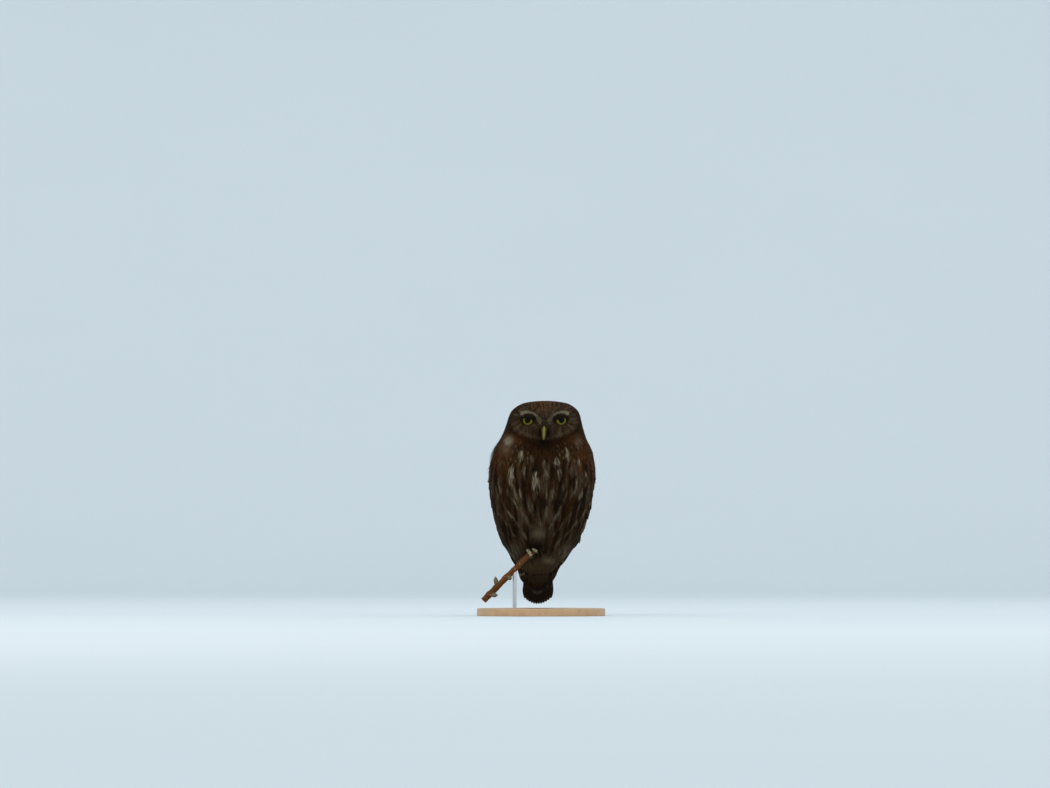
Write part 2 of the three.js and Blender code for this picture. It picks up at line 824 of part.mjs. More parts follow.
// A line that curls round the twig from its top: direction 1 is forwards and -1 is back
function curl(side, direction, offset, from, to, radiusAt) {
  const { at, along, forward, up } = frameOn(twigLine, twigAt(footX(side)));
  const points = spaced(0, 1, 6).map((share) => {
    const turn = mix(from, to, share);
    return at
      .clone()
      .addScaledVector(along, offset * mix(0.55, 1.15, turn / TOE_REACH))
      .addScaledVector(up, radiusAt(share) * Math.cos(turn))
      .addScaledVector(forward, direction * radiusAt(share) * Math.sin(turn));
  });
  return new THREE.CatmullRomCurve3(points);
}

const TOES = [
  { direction: 1, offset: -TOE_SPREAD },
  { direction: 1, offset: TOE_SPREAD },
  { direction: -1, offset: -TOE_SPREAD },
  { direction: -1, offset: TOE_SPREAD },
];

function sweep(curve, radiusAt, sides, steps) {
  const frames = curve.computeFrenetFrames(steps, false);
  const rings = spaced(0, 1, steps).map((t, i) =>
    Array.from({ length: sides }, (_, k) => {
      const turn = (2 * Math.PI * k) / sides;
      return curve
        .getPointAt(t)
        .addScaledVector(frames.normals[i], radiusAt(t) * Math.cos(turn))
        .addScaledVector(frames.binormals[i], radiusAt(t) * Math.sin(turn));
    }),
  );
  return solid(closed(rings));
}

const TOE_RING = TWIG_RADIUS + 0.35 + TOE_RADIUS;

function toe(side, { direction, offset }) {
  const line = curl(side, direction, offset, 0, TOE_REACH, () => TOE_RING);
  return sweep(line, (t) => TOE_RADIUS * (1 - 0.22 * t), 7, 5);
}

function foot(side) {
  const { at, along, up } = frameOn(twigLine, twigAt(footX(side)));
  const pad = new THREE.SphereGeometry(1, 8, 6).scale(4.2, 3.4, 2.2);
  const turn = new THREE.Matrix4().makeBasis(along, V(0, 1, 0), up);
  const place = at.clone().addScaledVector(up, TOE_RING + 0.4);
  pad.applyMatrix4(turn).translate(place.x, place.y, place.z);
  const line = legLine(side);
  const shank = tube(
    new THREE.LineCurve3(
      place,
      line.getPoint(0).addScaledVector(line.getTangent(0), -GAP),
    ),
    () => 2.6,
    { sides: 8, steps: 1 },
  );
  const whole = join([solid(pad), solid(shank), ...TOES.map((t) => toe(side, t))]);
  return whole
    .subtract(solid(tube(twigLine, twigRadius, { grow: GAP })))
    .subtract(leg(side, GAP));
}

function claw(side, { direction, offset }) {
  const start = TOE_REACH + (GAP + 0.1) / TOE_RING;
  const radiusAt = (share) => mix(TOE_RING + 0.2, TWIG_RADIUS + 1.1, share ** 1.5);
  const line = curl(side, direction, offset, start, start + CLAW_REACH, radiusAt);
  return sweep(line, (t) => CLAW_RADIUS * (1 - 0.82 * t), 6, 4);
}

// Stand

function standBase() {
  const profile = [
    [0, 0],
    [BASE_RADIUS - BASE_CHAMFER, 0],
    [BASE_RADIUS, BASE_CHAMFER],
    [BASE_RADIUS, BASE_THICK - BASE_CHAMFER],
    [BASE_RADIUS - BASE_CHAMFER, BASE_THICK],
    [0, BASE_THICK],
  ].map(([r, y]) => new THREE.Vector2(r, y));
  return solid(new THREE.LatheGeometry(profile, 48).rotateX(Math.PI / 2));
}

function standRod() {
  const { at } = frameOn(twigLine, twigAt(ROD_X));
  const foot = BASE_THICK + GAP;
  const rod = new THREE.CylinderGeometry(ROD_RADIUS, ROD_RADIUS, at.z - foot, 16);
  rod.rotateX(Math.PI / 2).translate(at.x, at.y, (at.z + foot) / 2);
  return solid(rod).subtract(solid(tube(twigLine, twigRadius, { grow: GAP })));
}

node("head", head(), PLUMAGE);
node("neck", neck(), PLUMAGE);
node("torso", torso(), PLUMAGE);
node("tail", tail(), FLIGHT);
node("bill_upper", upperBill(), HORN_YELLOW);
node("bill_lower", lowerBill(), HORN_YELLOW);
for (const [label, side] of [
  ["left", 1],
  ["right", -1],
]) {
  node(`eye_${label}`, eyeball(side), IRIS);
  node(`wing_${label}`, wing(side), FLIGHT);
  node(`leg_${label}`, leg(side), PALE_PLUMAGE);
  node(`foot_${label}`, foot(side), TOE_SKIN);
  TOES.forEach((t, i) => node(`claw_${label}_${i + 1}`, claw(side, t), CLAW_BLACK));
}
node("perch_twig", twig(), BARK);
node("stand_base", standBase(), TURNED_WOOD);
node("stand_rod", standRod(), STEEL);

export default owl;
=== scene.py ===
# %% [markdown]
# # A little owl on a twig
# A life-size model of a little owl, such as a museum shows, perched upright on the cut tip of a
# twig that a plain turned stand holds. The solids give every piece its place. This lesson dresses
# them: a skin, a coat of many thousand small feathers, wings and tail in tiers, eyes, bill,
# feet, bark and stand. The bird faces -Y, so its right side is at -X. Lengths in the code are
# millimetres, because that is how birds are measured, and turn into metres in one place.

# %% Frame
import math

import bpy
import numpy as np
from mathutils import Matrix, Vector, kdtree
from mathutils.bvhtree import BVHTree


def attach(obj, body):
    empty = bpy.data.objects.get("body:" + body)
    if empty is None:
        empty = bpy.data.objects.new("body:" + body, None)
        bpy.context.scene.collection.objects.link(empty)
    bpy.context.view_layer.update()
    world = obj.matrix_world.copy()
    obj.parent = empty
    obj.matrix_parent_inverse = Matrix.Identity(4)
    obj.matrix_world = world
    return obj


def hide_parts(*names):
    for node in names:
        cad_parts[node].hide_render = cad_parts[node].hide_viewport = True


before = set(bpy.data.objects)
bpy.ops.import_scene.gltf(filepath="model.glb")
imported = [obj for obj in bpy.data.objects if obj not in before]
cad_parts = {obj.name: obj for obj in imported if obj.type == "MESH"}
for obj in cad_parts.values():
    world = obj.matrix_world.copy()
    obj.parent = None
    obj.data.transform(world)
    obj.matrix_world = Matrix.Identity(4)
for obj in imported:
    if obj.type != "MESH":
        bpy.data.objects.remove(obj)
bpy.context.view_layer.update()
MM = 0.001
print("nodes:", len(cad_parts))

# %% [markdown]
# ## Camera
# The bird was seen from a little below, straight at its breast, through a long lens. A camera can
# be aimed by a tracking constraint or by turning it with code. Code is used here, because a
# constraint would have to be cleared for every other view. One photo pixel is 1.06 mm at the bird,
# so the frame's width there gives the focal length.

# %% Camera
PHOTO_WIDTH = 1050
PIXEL = 1.06 * MM
DISTANCE = 6.0
CAMERA_HEIGHT = 0.06
AIM = Vector((-0.017, 0, 0.235))
lens = bpy.data.cameras.new("camera")
lens.clip_end = 100
lens.sensor_width = 36
lens.lens = lens.sensor_width * DISTANCE / (PHOTO_WIDTH * PIXEL)
camera = bpy.data.objects.new("camera", lens)
bpy.context.scene.collection.objects.link(camera)
camera.location = (AIM.x, -DISTANCE, CAMERA_HEIGHT)
camera.rotation_euler = (AIM - camera.location).to_track_quat("-Z", "Y").to_euler()
bpy.context.scene.camera = camera
print("lens:", round(lens.lens, 1), "mm")

# %% [markdown]
# ## Colours and nodes
# Colours are written as sRGB hex, as a paint chart gives them, and Blender wants linear light, so
# one function turns them. One more function adds a shader node with its settings and links, which
# keeps every material short enough to read at a glance.

# %% Colours and nodes
def linear(hex_colour):
    parts = [int(hex_colour[i : i + 2], 16) / 255 for i in (1, 3, 5)]
    return (*[c / 12.92 if c < 0.04045 else ((c + 0.055) / 1.055) ** 2.4 for c in parts], 1)


def add(tree, kind, inputs=None, **settings):
    node = tree.nodes.new("ShaderNode" + kind)
    for name, value in settings.items():
        setattr(node, name, value)
    for socket, value in (inputs or {}).items():
        if isinstance(value, bpy.types.NodeSocket):
            tree.links.new(value, node.inputs[socket])
        else:
            node.inputs[socket].default_value = value
    return node


def start_material(name, roughness, **sockets):
    material = bpy.data.materials.new(name)
    material.use_nodes = True
    tree = material.node_tree
    shader = tree.nodes["Principled BSDF"]
    shader.inputs["Roughness"].default_value = roughness
    for socket, value in sockets.items():
        shader.inputs[socket.replace("_", " ")].default_value = value
    return material, tree, shader


def blend(tree, share, first, second, how="MIX"):
    """Colour mix of two colours or sockets by a share."""
    mixed = add(tree, "Mix", {0: share, 6: first, 7: second}, data_type="RGBA", blend_type=how)
    return mixed.outputs[2]


def sums(tree, how, first, second=0.5, third=0.5):
    return add(tree, "Math", {0: first, 1: second, 2: third}, operation=how).outputs[0]


def spread(tree, value, low, high, to_low=0.0, to_high=1.0):
    """A value eased from one range to another, and held at the ends."""
    eased = add(
        tree,
        "MapRange",
        {"Value": value, "From Min": low, "From Max": high, "To Min": to_low, "To Max": to_high},
        interpolation_type="SMOOTHSTEP",
    )
    return eased.outputs["Result"]


def paint(tree, shader, colour):
    tree.links.new(colour, shader.inputs["Base Color"])


def object_place(tree):
    return add(tree, "TexCoord").outputs["Object"]


def stretched(tree, place, scale, turn=(0, 0, 0)):
    mapping = add(tree, "Mapping", {"Vector": place, "Rotation": turn, "Scale": scale})
    return mapping.outputs["Vector"]


def noise(tree, place, scale, detail=2.0):
    pattern = add(tree, "TexNoise", {"Vector": place, "Scale": scale, "Detail": detail})
    return pattern.outputs["Fac"]


def dimmed(tree, colour, level):
    """A colour multiplied by a value."""
    grey = add(tree, "CombineColor", {"Red": level, "Green": level, "Blue": level})
    return blend(tree, 1.0, colour, grey.outputs["Color"], "MULTIPLY")


def bump(tree, shader, height, strength, distance_mm):
    raised = add(
        tree, "Bump", {"Height": height, "Strength": strength, "Distance": distance_mm * MM}
    )
    tree.links.new(raised.outputs["Normal"], shader.inputs["Normal"])


# %% [markdown]
# ## Studio
# A museum photographs such a model on a plain pale sweep under soft boxes. A sweep can be two
# planes with a hard corner, or one sheet that curves up behind. One sheet leaves no line behind the
# bird, as the open sky did. The soft boxes are large area lights, because a small light would cut
# hard shadows between the feathers.

# %% Studio
SWEEP_FRONT = -9.0
SWEEP_HALF = 9.0
SWEEP_BACK = 6.0
SWEEP_RADIUS = 2.0
SWEEP_TOP = 8.0


def sweep_profile():
    flat = [(SWEEP_FRONT, 0.0), (SWEEP_BACK - SWEEP_RADIUS, 0.0)]
    bend = [
        (
            SWEEP_BACK - SWEEP_RADIUS + SWEEP_RADIUS * math.sin(turn),
            SWEEP_RADIUS - SWEEP_RADIUS * math.cos(turn),
        )
        for turn in np.linspace(0, math.pi / 2, 17)[1:]
    ]
    return [*flat, *bend, (SWEEP_BACK, SWEEP_TOP)]


profile = sweep_profile()
sheet = bpy.data.meshes.new("studio_sweep")
sheet.from_pydata(
    [(x, y, z) for y, z in profile for x in (-SWEEP_HALF, SWEEP_HALF)],
    [],
    [(2 * i, 2 * i + 1, 2 * i + 3, 2 * i + 2) for i in range(len(profile) - 1)],
)
sheet.shade_smooth()
sweep = bpy.data.objects.new("studio_sweep", sheet)
bpy.context.scene.collection.objects.link(sweep)
# Seamless background paper: matt, cool and pale
paper, paper_tree, paper_shader = start_material("background paper", 0.9)
fibres = add(paper_tree, "TexNoise", {"Scale": 30.0, "Detail": 4.0})
paper_colour = blend(paper_tree, fibres.outputs["Fac"], linear("#d2dbe0"), linear("#d6dfe3"))
paint(paper_tree, paper_shader, paper_colour)
sheet.materials.append(paper)


def soft_box(name, place, size, watts, colour="#ffffff"):
    light = bpy.data.lights.new(name, "AREA")
    light.shape = "DISK"
    light.size = size
    light.energy = watts
    light.color = linear(colour)[:3]
    lamp = bpy.data.objects.new(name, light)
    bpy.context.scene.collection.objects.link(lamp)
    lamp.location = place
    target = Vector((0, 0, 0.14))
    lamp.rotation_euler = (target - lamp.location).to_track_quat("-Z", "Y").to_euler()


soft_box("key_light", (-1.5, -1.9, 1.9), 1.5, 14, "#fff6ea")
soft_box("fill_light", (1.9, -1.7, 1.0), 1.5, 5, "#f4f6ff")
soft_box("sky_light", (0.3, 1.2, 2.2), 1.8, 6, "#eef5ff")
world = bpy.data.worlds.new("studio")
bpy.context.scene.world = world
world.use_nodes = True
world.node_tree.nodes["Background"].inputs["Color"].default_value = linear("#e4eaee")
world.node_tree.nodes["Background"].inputs["Strength"].default_value = 1.2
bpy.context.scene.view_settings.view_transform = "Standard"
print("studio: sweep of", len(profile), "lines and 3 soft boxes")

# %% [markdown]
# ## The bird's outline
# All feathers end on one smooth outline. It is a stack of level sections, each a rounded oval with
# a half width, a front and a back. The same table drives the solids, so the coat follows them, and
# only at the left flank and the neck do its tips stand out a little further. Scanned data or
# sculpting would give such a shape too, but a table stays readable, and every feather can ask it
# for a place.

# %% The bird's outline
BASE_THICK = 8
TAIL_TIP_Z = BASE_THICK + 4
CROWN = 215.7
# Height over the tail tip, half width, front and back
OUTLINE = [
    (0, 14, 30, 45),
    (15, 16, 28, 45.4),
    (27, 18.2, 20, 45.6),
    (40, 21.5, 6, 46),
    (51, 29.5, -9, 46.5),
    (58, 35.2, -19, 47),
    (68.5, 41.8, -28.5, 47.6),
    (89.6, 49.3, -42, 48.6),
    (110.8, 54.4, -49.8, 48.2),
    (134, 57, -51.7, 45.6),
    (158.5, 53.6, -45, 40.4),
    (167, 50.2, -41.4, 37.6),
    (176, 45.4, -40.4, 34.6),
    (188, 41.1, -40.6, 30.2),
    (203, 36.4, -37, 22.2),
    (212.5, 24.8, -26, 10),
    (CROWN, 0, -8, -8),
]
SECTION_POWER = 2.15
LEAN = 0.043
LEAN_FROM = 112


def curve_through(points):
    """A smooth curve through points that rises and falls only where they do."""
    x, y = np.array(points, float).T
    slope = np.diff(y) / np.diff(x)
    product = slope[:-1] * slope[1:]
    inner = np.where(product > 0, 2 * product / np.where(product > 0, slope[:-1] + slope[1:], 1), 0)
    tangent = np.concatenate([slope[:1], inner, slope[-1:]])

    def curve(at):
        i = np.clip(np.searchsorted(x, at, side="right") - 1, 0, len(x) - 2)
        span = x[i + 1] - x[i]
        t = np.clip((at - x[i]) / span, 0, 1)
        u = 1 - t
        ends = y[i] * (1 + 2 * t) * u * u + y[i + 1] * (3 - 2 * t) * t * t
        return ends + span * (tangent[i] * t * u * u - tangent[i + 1] * u * t * t)

    return curve


half_width_square = curve_through([(h, half**2) for h, half, _, _ in OUTLINE])
half_depth_square = curve_through([(h, ((b - f) / 2) ** 2) for h, _, f, b in OUTLINE])
middle_y = curve_through([(h, (f + b) / 2) for h, _, f, b in OUTLINE])


def half_width(h):
    return np.sqrt(np.maximum(0, half_width_square(h)))


def half_depth(h):
    return np.sqrt(np.maximum(0, half_depth_square(h)))


def lean(h):
    return LEAN * (h - LEAN_FROM)


def oval(t):
    return np.sign(t) * np.abs(t) ** (2 / SECTION_POWER)


def smooth(value, low, high):
    t = np.clip((value - low) / (high - low), 0, 1)
    return t * t * (3 - 2 * t)


def mix(first, second, share):
    return first + (second - first) * share


def bell(distance, width):
    return np.exp(-((distance / width) ** 2))


def unit(vectors):
    return vectors / np.maximum(1e-9, np.linalg.norm(vectors, axis=-1, keepdims=True))


def outline(angle, h):
    """A point of the feathered outline. The angle runs from the breast round to the back."""
    x = lean(h) + half_width(h) * oval(np.sin(angle))
    y = middle_y(h) - half_depth(h) * oval(np.cos(angle))
    return np.stack(np.broadcast_arrays(x, y, TAIL_TIP_Z + h), -1)


def normal_of(surface, angle, h):
    around = surface(angle + 0.02, h) - surface(angle - 0.02, h)
    up = surface(angle, h + 0.4) - surface(angle, h - 0.4)
    return unit(np.cross(around, up))


# %% [markdown]
# ## The face's relief
# An owl's face is a shallow dish with a raised rim. The brows stand over the eyes and run down to
# the bill, which gives the stern look, and each eye sits in a socket. Relief could be sculpted or
# painted as displacement. A sum of soft bells keeps each form apart, so each can be set by itself.

# %% The face's relief
EYE_X = 17
EYE_HEIGHT = 195.3
EYE_RADIUS = 8
EYE_DEPTH = 5.2
GAZE_OUT = math.radians(12)
SIDES = {1: "left", -1: "right"}
BROW_RADIUS = 10.5
BROW_RISE = 3.4


def disc_rim(x, h):
    """1 on the rim of the face's disc, less inside it."""
    return np.hypot(x / 37, (h - 193) / 20)


def face_relief(x, h):
    out = np.abs(x) - EYE_X
    rise = h - EYE_HEIGHT
    from_eye = np.hypot(out, rise)
    above_eye = smooth(rise, -1, 5) * (1 - smooth(out, 8, 15))
    socket = -3.6 * bell(from_eye, 8.5)
    brow = BROW_RISE * bell(from_eye - BROW_RADIUS, 3.2) * above_eye
    bridge = 3 * bell(x, 5) * smooth(h, 178, 188) * (1 - smooth(h, 197, 209))
    rim = disc_rim(x, h)
    ruff = 1.3 * bell(rim - 1, 0.14) * (1 - smooth(h, 192, 202))
    return socket + brow + bridge + ruff - 1.4 * np.maximum(0, 1 - rim**2)


VENT_END = 31
VENT_ROUND = 19
VENT_BACK = 29.3


def bird_point(angle, h):
    """A point of the feathered body: the outline with the face's relief and the rounded vent."""
    point = outline(angle, h)
    normal = normal_of(outline, angle, h)
    facing = smooth(-normal[..., 1], 0.1, 0.6) * smooth(h, 157, 170)
    relief = facing * face_relief(point[..., 0] - lean(h), h)
    point = point + normal * relief[..., None]
    front, back = middle_y(h) - half_depth(h), middle_y(h) + half_depth(h)
    belly_back = mix(back, VENT_BACK, 1 - smooth(h, 50, 66))
    y = front + (point[..., 1] - front) * (belly_back - front) / np.maximum(1e-6, back - front)
    end = np.maximum(0, VENT_END + VENT_ROUND - h) / VENT_ROUND
    narrowing = np.maximum(0, 1 - end**2.5) ** (1 / 2.5)
    middle = (front + belly_back) / 2
    low = h < 66
    x = lean(h) + (point[..., 0] - lean(h)) * narrowing
    point[..., 0] = np.where(low, x, point[..., 0])
    point[..., 1] = np.where(low, middle + (y - middle) * narrowing, point[..., 1])
    return point


def eye_centre(side):
    angle = math.asin(side * EYE_X / half_width(EYE_HEIGHT))
    return bird_point(np.array(angle), np.array(EYE_HEIGHT)) + np.array([0, EYE_DEPTH, 0])


def gaze_frame(side):
    """The way an eye looks, and the ways to the right of and above its gaze."""
    look = np.array([side * math.sin(GAZE_OUT), -math.cos(GAZE_OUT), 0])
    right = unit(np.cross(look, [0, 0, 1]))
    return look, right, np.cross(right, look)


print("eye centres:", eye_centre(-1).round(1), eye_centre(1).round(1))

# %% [markdown]
# ## Meshes and forms
# The coat has far too many points for Python loops, so meshes are filled from arrays at once. A
# form is a surface that feathers are laid on. It answers one question: which point of the form is
# nearest to a place, and which way is out there. Blender's BVH tree answers it fast.

# %% Meshes and forms
def piece(name, points, faces, material, slot, sharp_over=50):
    """An object of the bird or its mount, from points in millimetres, that rides on the root."""
    faces = np.asarray(faces)
    mesh = bpy.data.meshes.new(name)
    mesh.vertices.add(len(points))
    mesh.vertices.foreach_set("co", (np.asarray(points, np.float32) * MM).ravel())
    mesh.loops.add(faces.size)
    mesh.loops.foreach_set("vertex_index", faces.ravel().astype(np.int32))
    mesh.polygons.add(len(faces))
    starts = np.arange(0, faces.size, faces.shape[1], dtype=np.int32)
    mesh.polygons.foreach_set("loop_start", starts)
    mesh.update(calc_edges=True)
    mesh.shade_smooth()
    mesh.set_sharp_from_angle(angle=math.radians(sharp_over))
    mesh.materials.append(material)
    made = bpy.data.objects.new(name, mesh)
    bpy.context.scene.collection.objects.link(made)
    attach(made, "root")
    return made


def note(made, name, values):
    """Keeps a number for every point of a mesh, for its material to read."""
    field = made.data.attributes.new(name, "FLOAT", "POINT")
    field.data.foreach_set("value", np.asarray(values, np.float32).ravel())


def lay_out(made, places):
    """The OFBake map, from a place on the unwrap for every point."""
    corners = np.empty(len(made.data.loops), np.int32)
    made.data.loops.foreach_get("vertex_index", corners)
    layer = made.data.uv_layers.new(name="OFBake")
    layer.data.foreach_set("uv", np.asarray(places, np.float32)[corners].ravel())


def grid_faces(rows, columns, closed=True):
    """Triangles over a grid of points. A closed grid joins its last column to its first."""
    r, c = np.meshgrid(np.arange(rows - 1), np.arange(columns if closed else columns - 1))
    r, c = r.ravel(), c.ravel()
    across = (c + 1) % columns
    a, b = r * columns + c, r * columns + across
    return np.concatenate(
        [np.stack([a, b, b + columns], -1), np.stack([a, b + columns, a + columns], -1)]
    )


def dot(first, second):
    return (first * second).sum(-1, keepdims=True)


class Form:
    """A surface to lay feathers on."""

    def __init__(self, points, faces):
        self.points, self.faces = points, faces
        corners = points[faces]
        face_normal = np.cross(corners[:, 1] - corners[:, 0], corners[:, 2] - corners[:, 0])
        self.area = np.linalg.norm(face_normal, axis=-1) / 2
        self.normals = np.zeros_like(points)
        for corner in range(3):
            np.add.at(self.normals, faces[:, corner], face_normal)
        self.normals = unit(self.normals)
        self.tree = BVHTree.FromPolygons(points.tolist(), faces.tolist())

    def nearest(self, places):
        found = [self.tree.find_nearest(place) for place in places.tolist()]
        at = np.array([f[0] for f in found])
        face = self.faces[np.array([f[2] for f in found])]
        a, b, c = (self.points[face[:, i]] for i in range(3))
        ab, ac, ap = b - a, c - a, at - a
        d00, d01, d11 = dot(ab, ab), dot(ab, ac), dot(ac, ac)
        d20, d21 = dot(ap, ab), dot(ap, ac)
        bottom = np.maximum(1e-9, d00 * d11 - d01 * d01)
        second = (d11 * d20 - d01 * d21) / bottom
        third = (d00 * d21 - d01 * d20) / bottom
        corners = self.normals[face]
        blended = corners[:, 0] * (1 - second - third) + corners[:, 1] * second
        return at, unit(blended + corners[:, 2] * third)


HEAD_START = 190


def ring_heights(low, body_count, top, head_count):
    """Heights of level rings over the bird, closer together at the vent and the crown."""
    head = 1 - (1 - np.linspace(0, 1, head_count)) ** 2
    body = np.linspace(46, HEAD_START - 1, body_count)
    return np.concatenate([VENT_END + np.array(low), body, HEAD_START + (top - HEAD_START) * head])


BIRD_COLUMNS = 210
bird_angles = np.linspace(0, 2 * math.pi, BIRD_COLUMNS, endpoint=False)
bird_heights = ring_heights([0.02, 0.3, 1, 2, 4, 7, 11], 92, CROWN - 0.01, 30)
bird_grid = bird_point(*np.meshgrid(bird_angles, bird_heights))
bird_faces = grid_faces(len(bird_heights), BIRD_COLUMNS)
bird_form = Form(bird_grid.reshape(-1, 3), bird_faces)
print("form of the bird:", len(bird_faces), "faces,", round(bird_form.area.sum() / 100), "cm2")

# %% [markdown]
# ## The lie of the coat
# Feathers lie the way a bird slips through air: back over the head, down the breast. On an owl's
# face they fan out from each eye and from the bill. A flow can be combed by hand or painted. Here it
# is a formula of place, so that every feather finds its own direction.

# %% The lie of the coat
FACE_CENTRE = np.array([lean(190.0), -45, TAIL_TIP_Z + 190])
EYES = [eye_centre(-1), eye_centre(1)]


def chart(places):
    """Sideways place from the bird's middle, height over the tail tip, and angle from the breast."""
    h = places[..., 2] - TAIL_TIP_Z
    x = places[..., 0] - lean(h)
    ahead = -(places[..., 1] - middle_y(h)) / np.maximum(1, half_depth(h))
    return x, h, np.arctan2(x / np.maximum(1, half_width(h)), ahead)


def from_eye(x, h):
    return np.hypot(np.abs(x) - EYE_X, h - EYE_HEIGHT)


def coat_flow(places):
    x, h, _ = chart(places)
    inward = -0.018 * x * (1 - smooth(h, 95, 140)) * smooth(h, 48, 66)
    down = np.stack([inward, 0 * h, -1 + 0 * h], -1)
    away = unit(places - FACE_CENTRE)
    flow = mix(down, away, smooth(h, 160, 182)[..., None])
    for eye in EYES:
        ray = places - eye
        near = bell(np.linalg.norm(ray, axis=-1), 13)
        flow = flow + 2.2 * near[..., None] * unit(ray)
    return flow


# %% [markdown]
# ## Where the feathers grow
# Roots that are scattered at random clump and leave bald spots, and a plain grid shows its rows.
# Here many random places are drawn, and each one that is kept clears the room round it, so the
# roots end up evenly apart and still unplanned. The room is small on the face and wide on the
# breast, as on the bird.

# %% Where the feathers grow
def scatter(form, spacing_at, wanted, seed):
    """Places on a form, apart by a spacing that may change over it."""
    rng = np.random.default_rng(seed)
    corners = form.points[form.faces]
    spacing = spacing_at(corners.mean(1))
    weight = form.area / spacing**2 * wanted(corners.mean(1))
    count = int(weight.sum() * 7)
    face = rng.choice(len(weight), count, p=weight / weight.sum())
    first, second = rng.random((2, count, 1))
    fold = first + second > 1
    first, second = np.where(fold, 1 - first, first), np.where(fold, 1 - second, second)
    a, b, c = (corners[face, i] for i in range(3))
    places = a + first * (b - a) + second * (c - a)
    room = spacing_at(places)
    tree = kdtree.KDTree(count)
    for i, place in enumerate(places.tolist()):
        tree.insert(place, i)
    tree.balance()
    free = np.ones(count, bool)
    kept = []
    for i in range(count):
        if free[i]:
            kept.append(i)
            for _, other, _ in tree.find_range(places[i], room[i]):
                free[other] = False
    return places[kept]


# %% [markdown]
# ## One vane, many times
# A feather is a shaft with two webs of barbs, so it is drawn as a thin lens: a raised spine, and
# edges cut into teeth that point to the tip, as barbs part at their ends. The usual ways to fill a
# coat are hair particles or instances, but neither survives an export. So one template is bent along
# thousands of spines at once with array arithmetic, and joined into a few big meshes.

# %% One vane, many times
def vane_template(rows, columns, notch, slant):
    """Shares along and across, side of the lens and row of teeth for each point, and the faces."""
    across = np.linspace(-1, 1, columns)
    points, over, under, notches = [], {}, {}, {}
    for i in range(rows + 1):
        for j in range(columns):
            inner = 0 < j < columns - 1
            over[i, j] = under[i, j] = len(points)
            points.append((i / rows, across[j], 1 if inner and 0 < i < rows else 0))
            if inner and 0 < i < rows:
                under[i, j] = len(points)
                points.append((i / rows, across[j], -1))
    for i in range(rows):
        for j in (0, columns - 1):
            notches[i, j] = len(points)
            points.append(((i + 0.5) / rows, across[j] * notch, 0))
    faces = []
    for layer, outward in ((over, 1), (under, -1)):
        for i in range(rows):
            for j in range(columns - 1):
                a, b, c, d = layer[i, j], layer[i, j + 1], layer[i + 1, j + 1], layer[i + 1, j]
                if j == 0:
                    gap = notches[i, 0]
                    new = [(a, b, gap), (gap, b, c), (gap, c, d)]
                elif j == columns - 2:
                    gap = notches[i, columns - 1]
                    new = [(a, b, gap), (a, gap, d), (d, gap, c)]
                else:
                    new = [(a, b, c), (a, c, d)]
                new = [face for face in new if any(points[k][2] for k in face)]
                faces += new if outward > 0 else [face[::-1] for face in new]
    used, faces = np.unique(faces, return_inverse=True)
    along, across, lens_side = np.array(points)[used].T
    along = along + slant * np.abs(across) * (1 - along)
    return along, across, lens_side, faces.reshape(-1, 3)


def body_web(t):
    return np.sqrt(np.maximum(0.02, 1 - ((t - 0.5) / 0.51) ** 2))


def soft_web(t):
    return (0.4 + 0.6 * smooth(t, 0, 0.3)) * np.maximum(0.05, 1 - smooth(t, 0.35, 1.05))


def flight_web(t):
    return np.minimum(1, 0.35 + 3 * t) * np.sqrt(np.maximum(0.03, 1 - smooth(t, 0.72, 1.02) ** 2))


def bend_vanes(spines, template, half, web, sink, thick, camber, rng, ragged=0.07):
    """The points of many vanes, and the places on the form that they stand over."""
    at, side, normal = spines
    along, across, lens_side, _ = template
    last = at.shape[1] - 1
    step = np.clip(along * last, 0, last - 1e-6)
    low = step.astype(int)
    share = (step - low)[None, :, None]
    here, sideways, out = (f[:, low] * (1 - share) + f[:, low + 1] * share for f in (at, side, normal))
    teeth = 1 + ragged * rng.standard_normal((len(at), len(along))) * (np.abs(across) > 0.6)
    offset = across * web(along) * half[:, None] * teeth
    depth = sink(along)[None] if np.ndim(sink(along)) == 1 else sink(along)
    lens = thick * lens_side * (1 - 0.8 * across**2) * web(along)
    rise = lens - depth - camber * offset**2
    flat = here + sideways * offset[..., None]
    return flat + out * rise[..., None], flat


def walk(form, roots, flow, length, rows, wander, rng):
    """Spines that start at the roots and run over the form with the flow."""
    turn = (wander * rng.standard_normal(len(roots)))[:, None]
    step = (length / rows)[:, None]
    here, rails = roots, []
    for _ in range(rows + 1):
        at, normal = form.nearest(here)
        ahead = flow(at)
        ahead = unit(ahead - normal * dot(ahead, normal))
        side = np.cross(ahead, normal)
        ahead = ahead * np.cos(turn) + side * np.sin(turn)
        rails.append((at, np.cross(ahead, normal), normal))
        here = at + ahead * step
    return [np.stack(rail, 1) for rail in zip(*rails)]


def even_notes(shape, pale, deep, tone):
    """Notes of vanes that carry no marks."""
    return {
        "pale": np.broadcast_to(pale, shape),
        "rust": np.zeros(shape),
        "deep": np.full(shape, deep),
        "tone": tone,
    }


PATCH = 0.003


